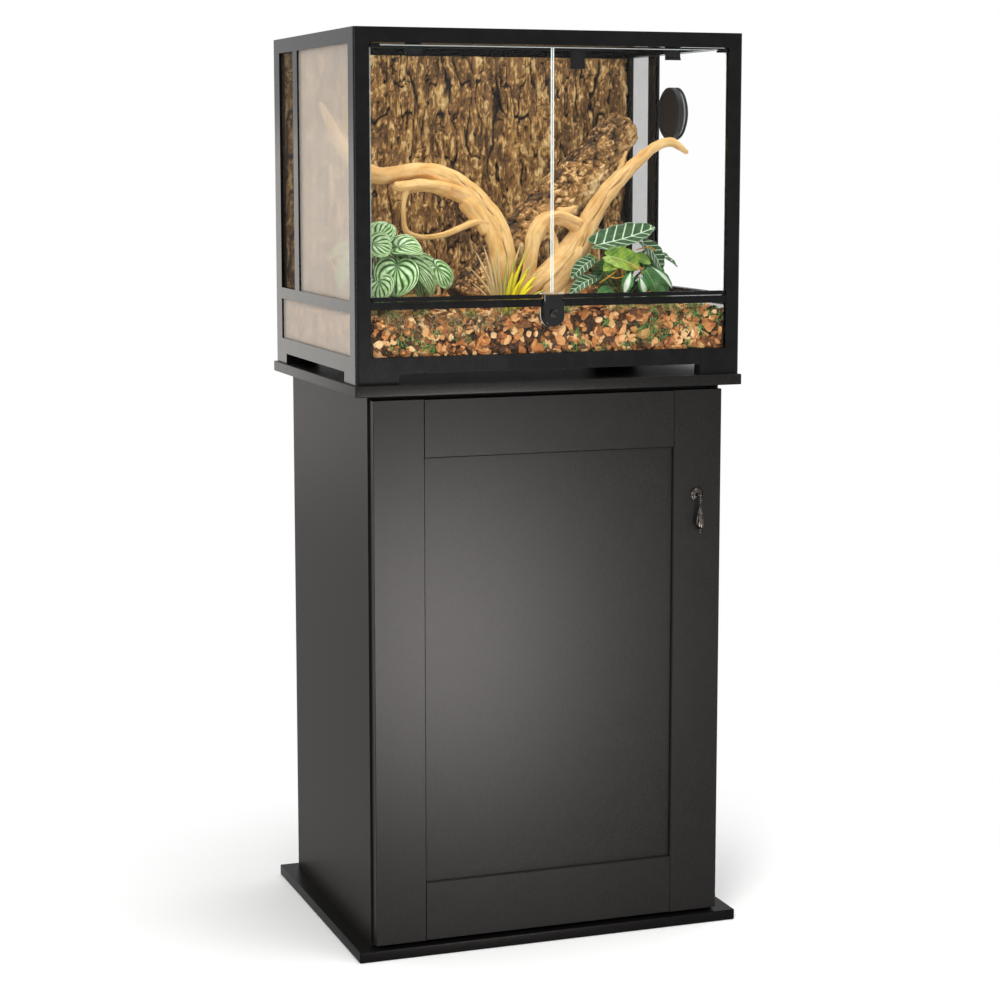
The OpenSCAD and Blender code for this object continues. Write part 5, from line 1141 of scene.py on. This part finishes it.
# The panes press the sprigs flat, mm on the tank
pressed = {"low": [-292.3, -220.8, -np.inf], "high": [292.3, 195, np.inf]}


def sprigPiece(name, part, finish):
    points = np.clip(part["points"], pressed["low"], pressed["high"])
    makePiece(name, toFrame(dict(part, points=points)), finish, "terrarium")


def mossPieces():
    rng = np.random.default_rng(9)
    top = [[x, y, soilAt(x, y) + 2, s] for x, y, s in mossClumps["top"]]
    front = sprigPart(rng, mossClumps["front"], 60, [0.9, 0.1, 0.7], (4, 10), (0.9, 1.7), [0, -0.2, 0.3])
    over = sprigPart(rng, top, 46, [1.0, 1.0, 0.15], (6, 14), (0.7, 1.3), [0, 0, 0.9])
    moss = mossFinish("moss_green", "#44682c", "#7aab50", "#bcd88a")
    sprigPiece("moss_sprigs", joined([front, over]), moss)
    hay = sprigPart(rng, hayClumps, 110, [1.0, 0.1, 0.5], (7, 16), (0.8, 1.5), [0, -0.1, 0.1])
    sprigPiece("hay_sprigs", hay, mossFinish("hay_pale", "#75613a", "#bda46c", "#e6d6a2"))


print("grass and moss")
mossPieces()


# A leaf seen along its meridians, which leave the stalk's end fanned out and meet again at the tip. Each is
# a curve of four control points: the stalk's end, a point at its own angle round that, a point out beside
# the blade's middle, and the tip. The blade arches along its length, folds at the midrib, swells between
# meridians and ruffles at its edge. Two such sheets are joined round the rim
def leafPart(foot, tip, facing, wide, arch, kind):
    foot, tip = spot([foot])[0, :3], spot([tip])[0, :3]
    length = np.linalg.norm(tip - foot)
    ahead = (tip - foot) / length
    up = unit(np.array(facing, float) - ahead * (np.array(facing, float) @ ahead))
    n, m = kind["rows"], kind["columns"]
    t, v = np.meshgrid(np.linspace(0.03, 0.985, n), np.linspace(-1, 1, m), indexing="ij")
    angle = v * math.radians(kind["spread"])
    one, two, three = 3 * (1 - t) ** 2 * t, 3 * (1 - t) * t ** 2, t ** 3
    x = one * kind["back"] * np.cos(angle) + two * kind["shoulder"] + three
    y = one * kind["side"] * np.sin(angle) + two * kind["bulge"] * v
    z = (length * arch * 4 * x * (1 - x) + kind["fold"] * wide * np.abs(y)
         + kind["swell"] * np.abs(np.sin(v * math.pi * 5)) * np.sin(math.pi * t)
         + kind["ruffle"] * np.sin(x * 23 + v) * v ** 2)
    top = np.stack([x * length, y * wide, z], -1)
    normal = unit(np.cross(np.gradient(top, axis=0), np.gradient(top, axis=1)))
    sheets = np.concatenate([(top + normal * kind["thick"] / 2).reshape(-1, 3),
                             (top - normal * kind["thick"] / 2).reshape(-1, 3)])
    points = sheets @ np.stack([ahead, np.cross(up, ahead), up]) + foot
    face = gridQuads(n, m)
    at = np.arange(n * m).reshape(n, m)
    rim = np.concatenate([at[:-1, -1], at[-1, :0:-1], at[:0:-1, 0], at[0, :1]])
    edge = np.stack([rim, np.roll(rim, -1), np.roll(rim, -1) + n * m, rim + n * m], -1)
    faces = [face[:, ::-1], face + n * m, edge, at[:1], at[:1, ::-1] + n * m]
    marks = {"along": np.tile(t.ravel(), 2), "across": np.tile(v.ravel(), 2), "reach": np.tile(x.ravel(), 2),
             "beside": np.tile(y.ravel(), 2), "under": np.repeat([0.0, 1.0], n * m)}
    return {"points": points, "faces": faces, "marks": marks}


leafKinds = {
    "striped": {"rows": 34, "columns": 61, "spread": 162, "back": 1.1, "side": 0.34, "shoulder": 0.62,
                "bulge": 1.12, "fold": 0.10, "swell": 1.1, "ruffle": 0.0, "thick": 0.8},
    "arrow": {"rows": 60, "columns": 41, "spread": 168, "back": 0.85, "side": 0.24, "shoulder": 0.50,
              "bulge": 0.95, "fold": 0.35, "swell": 0.0, "ruffle": 1.1, "thick": 0.6},
    "vine": {"rows": 34, "columns": 31, "spread": 145, "back": 0.60, "side": 0.30, "shoulder": 0.55,
             "bulge": 1.05, "fold": 0.25, "swell": 0.0, "ruffle": 0.8, "thick": 0.5},
    "pale": {"rows": 34, "columns": 25, "spread": 75, "back": 0.40, "side": 0.35, "shoulder": 0.60,
             "bulge": 0.95, "fold": 0.25, "swell": 0.0, "ruffle": 0.5, "thick": 0.5},
    "deep": {"rows": 34, "columns": 31, "spread": 130, "back": 0.50, "side": 0.32, "shoulder": 0.58,
             "bulge": 1.05, "fold": 0.22, "swell": 0.0, "ruffle": 0.6, "thick": 0.5}}

# Each leaf: where its stalk ends and its tip, the way its face looks, width in mm, arch, and its kind
stripedLeaves = [
    [(-0.731, -0.68, 0.194), (-0.758, -0.76, 0.079), (-0.3, -0.9, 0.25), 66, 0.1],
    [(-0.702, -0.60, 0.263), (-0.573, -0.60, 0.241), (-0.15, -0.5, 0.85), 54, 0.12],
    [(-0.811, -0.58, 0.285), (-0.729, -0.52, 0.350), (-0.5, -0.75, 0.45), 46, 0.1],
    [(-0.846, -0.64, 0.276), (-0.752, -0.66, 0.250), (-0.45, -0.7, 0.55), 42, 0.12],
    [(-0.630, -0.56, 0.209), (-0.500, -0.50, 0.074), (0.35, -0.85, 0.35), 36, 0.14],
    [(-0.458, -0.42, 0.177), (-0.399, -0.44, 0.098), (-0.1, -0.9, 0.35), 32, 0.14],
    [(-0.834, -0.72, 0.142), (-0.838, -0.78, 0.066), (-0.45, -0.85, 0.2), 46, 0.1],
    [(-0.590, -0.46, 0.169), (-0.538, -0.46, 0.062), (0.25, -0.9, 0.3), 36, 0.12],
    [(-0.697, -0.42, 0.218), (-0.767, -0.40, 0.135), (-0.3, -0.9, 0.3), 40, 0.12],
    [(-0.534, -0.38, 0.200), (-0.439, -0.32, 0.121), (0.1, -0.95, 0.3), 34, 0.12],
    [(-0.860, -0.20, 0.200), (-0.900, -0.10, 0.090), (-0.8, -0.4, 0.5), 40, 0.14],
    [(-0.860, 0.02, 0.160), (-0.840, 0.16, 0.070), (-0.8, 0.2, 0.6), 38, 0.14],
    [(-0.830, 0.15, 0.240), (-0.880, 0.26, 0.190), (-0.8, 0, 0.7), 38, 0.12],
    [(-0.800, -0.30, 0.230), (-0.930, -0.33, 0.210), (-0.4, -0.5, 0.8), 36, 0.12]]

veinLeaves = [
    [(0.446, -0.46, 0.262), (0.726, -0.50, 0.324), (-0.2, -0.62, 0.75), 56, -0.04, "arrow"],
    [(0.438, -0.56, 0.216), (0.605, -0.60, 0.165), (-0.15, -0.8, 0.55), 40, 0.1, "vine"],
    [(0.708, -0.40, 0.248), (0.796, -0.38, 0.145), (0.25, -0.9, 0.35), 34, 0.12, "arrow"],
    [(0.542, -0.64, 0.155), (0.498, -0.66, 0.072), (-0.35, -0.9, 0.2), 18, 0.12, "pale"],
    [(0.599, -0.62, 0.135), (0.628, -0.62, 0.065), (-0.2, -0.95, 0.2), 16, 0.12, "pale"],
    [(0.645, -0.58, 0.160), (0.702, -0.60, 0.067), (-0.1, -0.95, 0.3), 25, 0.1, "deep"],
    [(0.713, -0.44, 0.171), (0.847, -0.42, 0.079), (0.1, -0.9, 0.4), 13, 0.12, "pale"],
    [(0.368, -0.46, 0.195), (0.256, -0.48, 0.124), (-0.35, -0.75, 0.6), 27, 0.1, "arrow"],
    [(0.361, -0.52, 0.128), (0.222, -0.56, 0.065), (-0.35, -0.75, 0.6), 25, 0.12, "arrow"],
    [(0.596, -0.52, 0.206), (0.686, -0.54, 0.182), (-0.1, -0.7, 0.7), 22, 0.1, "vine"],
    [(0.482, -0.60, 0.190), (0.398, -0.60, 0.160), (-0.4, -0.75, 0.5), 22, 0.1, "vine"],
    [(0.547, -0.28, 0.185), (0.445, -0.28, 0.096), (-0.3, -0.9, 0.3), 32, 0.1, "deep"],
    [(0.713, -0.26, 0.191), (0.859, -0.24, 0.113), (-0.1, -0.9, 0.4), 30, 0.1, "deep"],
    [(0.736, -0.46, 0.113), (0.811, -0.46, 0.057), (0, -0.95, 0.3), 20, 0.12, "deep"],
    [(0.449, -0.60, 0.086), (0.348, -0.64, 0.058), (-0.3, -0.8, 0.5), 20, 0.12, "deep"],
    [(0.700, -0.10, 0.200), (0.860, 0.02, 0.120), (0.5, -0.2, 0.8), 40, 0.14, "vine"],
    [(0.480, -0.15, 0.190), (0.330, -0.06, 0.150), (-0.2, -0.3, 0.9), 38, 0.14, "vine"],
    [(0.720, -0.30, 0.210), (0.900, -0.36, 0.160), (0.5, -0.4, 0.8), 34, 0.12, "arrow"]]

# Where the stalks come out of the ground: the plant's left part and the one behind it, and the ball
stalkRoots = {"striped": [(-0.80, -0.57, -0.02), (-0.84, -0.10, -0.01)], "vein": [(0.58, -0.36, 0.03)]}


# Each leaf's stalk rises from the nearest root, bows upwards and ends at the leaf
def stalks(leaves, roots):
    routes = []
    for leaf in leaves:
        end = np.array(leaf[0])
        root = np.array(min(roots, key=lambda r: math.dist(r, leaf[0])))
        middle = root * 0.45 + end * 0.55 + [0, 0, 0.035]
        routes.append([[*root, 2.4], [*middle, 1.7], [*end, 1.0]])
    return routes


tendrilRoutes = [
    [[0.465, -0.60, 0.209, 1.0], [0.498, -0.62, 0.163, 1.0], [0.515, -0.62, 0.101, 1.0]],
    [[0.578, -0.56, 0.214, 1.0], [0.605, -0.60, 0.177, 1.0], [0.617, -0.60, 0.138, 1.0]],
    [[0.614, -0.50, 0.236, 1.0], [0.699, -0.48, 0.250, 1.0], [0.746, -0.46, 0.226, 1.0]],
    [[0.409, -0.62, 0.145, 1.0], [0.452, -0.66, 0.130, 1.0], [0.532, -0.62, 0.143, 1.0]],
    [[0.365, -0.62, 0.111, 1.0], [0.419, -0.66, 0.142, 1.0], [0.493, -0.60, 0.170, 1.0]],
    [[0.531, -0.62, 0.193, 1.0], [0.553, -0.66, 0.163, 1.0], [0.633, -0.60, 0.169, 1.0]]]


def stemPart(routes):
    return joined([limb(route, 12, 3.0, (0, 3, 0), (0.15, 9), seed=7) for route in routes])


# Striped leaf: narrow dark green meridians at even steps across, silvery green bands between them
def stripedFinish():
    f = Finish("leaf_striped")
    v, t = f.mark("across"), f.mark("along")
    wobble = f.noise(f.place(), 130, 3.0, 0.55)
    wave = f.pingPong(abs(v) + wobble * 0.03 - 0.015, 0.1)
    vein = 1 - (wave * 10).rise(0.20, 0.52)
    rim = abs(v).rise(0.90, 0.97)
    pale = f.ramp(wobble * 0.7 + wave * 3.0, (0.40, "#7aa95a"), (0.56, "#a9cf8c"), (0.74, "#dcefc8"))
    dark = f.ramp(wobble, (0.3, "#123a14"), (0.7, "#2b6224"))
    deep = vein + rim + (1 - t.rise(0.02, 0.14)) * 0.6 + t.rise(0.90, 1.0)
    colour = f.blendColour(deep.clip(), pale, dark)
    colour = f.blendColour(f.mark("under") * 0.8, colour, "#5f8a52")
    return f.skin(colour, wobble * 0.1 + 0.28, 0.4, 1 - vein, 0.0008, 0.6)


# Arrow leaf: deep green between a pale midrib, slanting pale side veins and a pale rim
def arrowFinish():
    f = Finish("leaf_arrow")
    x, y, v = f.mark("reach"), abs(f.mark("beside")), abs(f.mark("across"))
    wobble = f.noise(f.place(), 160, 2.0, 0.5)
    side = f.pingPong(x * 5.6 - y * 2.6 + 0.10 * wobble + 3.0, 0.5)
    vein = (1 - side.rise(0.04, 0.11)) * (1 - v.rise(0.80, 1.0) * 0.6)
    rib = 1 - y.rise(0.008, 0.026)
    rim = v.rise(0.93, 0.98) * 0.6
    green = f.ramp(wobble, (0.3, "#1d3a1f"), (0.7, "#38602f"))
    pale = f.ramp(wobble, (0.3, "#a5cf9e"), (0.7, "#dcefd4"))
    colour = f.blendColour((vein + rib + rim).clip(), green, pale)
    colour = f.blendColour(f.mark("under") * 0.8, colour, "#55714a")
    return f.skin(colour, 0.34, 0.4, (vein + rib).clip(), 0.0006, 0.5)


# Vine leaf: yellow-green with fine darker side veins
def vineFinish():
    f = Finish("leaf_vine")
    x, y = f.mark("reach"), abs(f.mark("beside"))
    wobble = f.noise(f.place(), 70, 3.0, 0.5)
    side = f.pingPong(x * 8 - y * 4 + 3.0, 0.5)
    vein = 1 - side.rise(0.02, 0.10)
    colour = f.ramp(wobble, (0.32, "#446d18"), (0.5, "#6b901c"), (0.68, "#95ab35"))
    colour = f.blendColour((vein * 0.35 + (1 - y.rise(0.008, 0.024)) * 0.6).clip(), colour, "#c6cf74")
    return f.skin(colour, 0.38, 0.4, vein, 0.0004, 0.5)


# Pale-hearted leaf: green margin, white-green streak along the middle
def paleFinish():
    f = Finish("leaf_pale")
    v = f.mark("across")
    wobble = f.noise(f.place(1, 1, 0.4), 240, 3.0, 0.6)
    streak = (abs(v) + wobble * 0.7 - 0.35).rise(0.28, 0.62)
    colour = f.blendColour(streak, f.ramp(wobble, (0.3, "#b9d4b2"), (0.6, "#eef6ea")),
                           f.ramp(wobble, (0.3, "#1f5a22"), (0.7, "#3f8a34")))
    return f.skin(colour, 0.36, 0.4, wobble, 0.0004, 0.4)


# Deep green leaf with a fine pale midrib
def deepFinish():
    f = Finish("leaf_deep")
    x, y = f.mark("reach"), abs(f.mark("beside"))
    wobble = f.noise(f.place(), 90, 3.0, 0.5)
    side = f.pingPong(x * 8 - y * 4 + 3.0, 0.5)
    vein = (1 - side.rise(0.03, 0.12)) * 0.4 + (1 - y.rise(0.01, 0.026)) * 0.8
    colour = f.blendColour(vein.clip(), f.ramp(wobble, (0.3, "#17471a"), (0.7, "#3b7a2c")), "#8fb872")
    return f.skin(colour, 0.34, 0.45, vein, 0.0004, 0.5)


def stemFinish(name, dark, pale):
    f = Finish(name)
    cloud = f.noise(f.place(1, 1, 0.3), 200, 3.0, 0.6)
    return f.skin(f.ramp(cloud, (0.35, dark), (0.65, pale)), 0.5, 0.35, cloud, 0.0004, 0.4)


print("leaves")
striped = joined([leafPart(*leaf, leafKinds["striped"]) for leaf in stripedLeaves])
makePiece("striped_leaves", toFrame(striped), stripedFinish(), "terrarium", ["striped_plant"])
makePiece("striped_stems", stemPart(stalks(stripedLeaves, stalkRoots["striped"])),
          stemFinish("stem_red", "#5b3a22", "#7c6a3a"), "terrarium")
veinFinishes = {"arrow": arrowFinish(), "vine": vineFinish(), "pale": paleFinish(), "deep": deepFinish()}
for kindName, finish in veinFinishes.items():
    group = [leafPart(*leaf[:5], leafKinds[kindName]) for leaf in veinLeaves if leaf[5] == kindName]
    makePiece(kindName + "_leaves", toFrame(joined(group)), finish, "terrarium",
              ["ground_plants"] if kindName == "arrow" else [])
makePiece("vein_stems", stemPart(stalks(veinLeaves, stalkRoots["vein"])),
          stemFinish("stem_green", "#3c4a1f", "#7d8a3e"), "terrarium")
makePiece("tendrils", stemPart(tendrilRoutes), stemFinish("stem_orange", "#a8641c", "#d9a032"), "terrarium")
makePiece("grass_tuft", toFrame(grassPart()), grassFinish(), "terrarium")


# A ball stretched sideways, its radius pushed by noise, with moss sprigs all over it; lengths in mm. The
# moss is near black, partly dark moss and partly painted shade
ball = {"rings": 60, "sides": 90, "place": [0.62, -0.22, 0.03], "radius": 34.5, "stretch": [1.2, 1.0, 0.98],
        "wrap": 36, "sprigs": 1300, "sprigFoot": 34, "seed": 15}


def rootBall():
    p, q = np.meshgrid(np.linspace(0, math.pi, ball["rings"]),
                       np.linspace(0, 2 * math.pi, ball["sides"], endpoint=False), indexing="ij")
    way = ends(np.stack([np.sin(p) * np.cos(q), np.sin(p) * np.sin(q), -np.cos(p)], -1))
    centre = spot([ball["place"]])[0, :3]
    wrapped = way * ball["wrap"]
    radius = ball["radius"] + 4 * layers(wrapped, 16, 103, 3) + 1.2 * waves(wrapped, 3, 107)
    points = centre + way * radius[:, None] * ball["stretch"]
    makePiece("root_ball_core", toFrame({"points": points, "faces": closedFaces(*p.shape), "marks": {}}),
              rootFinish(), "terrarium", ["root_ball"])
    rng = np.random.default_rng(ball["seed"])
    pick = unit(rng.normal(0, 1, (ball["sprigs"], 3)))
    foot = centre + pick * ball["stretch"] * ball["sprigFoot"]
    aim = unit(pick * 0.8 + rng.normal(0, 0.7, pick.shape))
    k = len(pick)
    sprigs = strands(foot, aim, rng.normal(0, 0.5, pick.shape), rng.uniform(4, 11, k),
                     rng.uniform(0.7, 1.3, k), rng.uniform(0.4, 0.8, k), 5, 0.2,
                     {"tone": rng.uniform(0, 1, k)})
    # Near-black moss on the ball: partly dark moss, partly painted shade
    makePiece("root_ball_moss", toFrame(sprigs), mossFinish("moss_dark_painted_shade", "#14150c", "#2c3317", "#68703a"),
              "terrarium")


def rootFinish():
    f = Finish("root_fibres")
    fibre = f.noise(f.place(), 240, 5.0, 0.7)
    return f.skin(f.ramp(fibre, (0.35, "#0f0c08"), (0.55, "#2c2214"), (0.75, "#544224")), 0.85, 0.2,
                  fibre, 0.003, 1.0)


print("root ball")
rootBall()


# The floor near the stand takes its shadow; away from it, and to lens and mirrors, it is plain white
ground = {"radius": 14, "sides": 96, "level": -0.0005, "shadow": (0.42, 0.95)}


def floorFinish():
    f = Finish("floor_white")
    away = f.node("VectorMath", {"operation": "LENGTH"}, {0: f.place(1, 1, 0)}, out=1).rise(*ground["shadow"])
    soft = f.noise(f.place(), 3, 2.0, 0.5)
    near = f.node("BsdfDiffuse", {}, {"Color": f.blendColour(soft, "#f7f7f7", "#fbfbfb")})
    white = f.node("Emission", {}, {"Color": (1, 1, 1, 1), "Strength": 1.0})
    return f.close(f.node("MixShader", {}, {0: f.seen() * away, 1: near, 2: white}))


print("floor, lamps and world")
floorTurn = np.linspace(0, 2 * math.pi, ground["sides"], endpoint=False)
floorPoints = np.stack([ground["radius"] * np.cos(floorTurn), ground["radius"] * np.sin(floorTurn),
                        np.full(ground["sides"], ground["level"])], -1)
floorMesh = bpy.data.meshes.new("floor")
floorMesh.from_pydata(floorPoints.tolist(), [], [list(range(ground["sides"]))])
floorMesh.materials.append(floorFinish())
floor = bpy.data.objects.new("floor", floorMesh)
bpy.context.scene.collection.objects.link(floor)


# A soft rectangular lamp that looks at a point; watts, and which rays see it
def lamp(name, place, target, wide, tall, power, colour=(1, 1, 1), diffuse=True, glossy=True):
    data = bpy.data.lights.new(name, "AREA")
    data.shape, data.size, data.size_y, data.energy, data.color = "RECTANGLE", wide, tall, power, colour
    made = bpy.data.objects.new(name, data)
    away = np.array(place, float) - np.array(target, float)
    flat = math.hypot(away[0], away[1])
    made.location = place
    made.rotation_euler = (math.atan2(flat, away[2]), 0, math.atan2(away[1], away[0]) + math.pi / 2)
    bpy.context.scene.collection.objects.link(made)
    made.visible_camera = False
    made.visible_diffuse = diffuse
    made.visible_glossy = glossy


lamp("key", (-2.2, -3.2, 2.9), (0, 0, 1.0), 1.4, 1.4, 95, (1, 0.985, 0.96), glossy=False)
lamp("overhead", (0.2, -0.2, 3.4), (0.0, 0.0, 1.0), 1.8, 1.8, 75)
lamp("fill", (2.6, -2.6, 1.6), (0, 0, 0.9), 1.6, 1.6, 24, glossy=False)
lamp("doorSheen", (0.19, -1.40, 0.18), (-0.17, -0.23, 0.48), 0.30, 0.66, 45, (1, 0.95, 0.93), diffuse=False)
lamp("leftPanel", (-1.05, 2.80, 0.78), (-0.3, 0, 0.95), 1.7, 0.95, 5, (1, 0.93, 0.85), diffuse=False)
lamp("edgeStrip", (-2.6, -1.2, 1.1), (-0.25, -0.2, 1.1), 0.25, 1.6, 22, diffuse=False)

# The world is plain white: full strength to lens and mirrors, and less as light on the object
sky = {"light": 0.55, "more": 0.45}
world = bpy.data.worlds.new("studio")
bpy.context.scene.world = world
studio = Finish("studio", world)
level = studio.seen() * sky["more"] + sky["light"]
glow = studio.node("Background", {}, {"Color": (1, 1, 1, 1), "Strength": level})
studio.node("OutputWorld", {}, {"Surface": glow})
bpy.context.scene.view_settings.view_transform = "Standard"
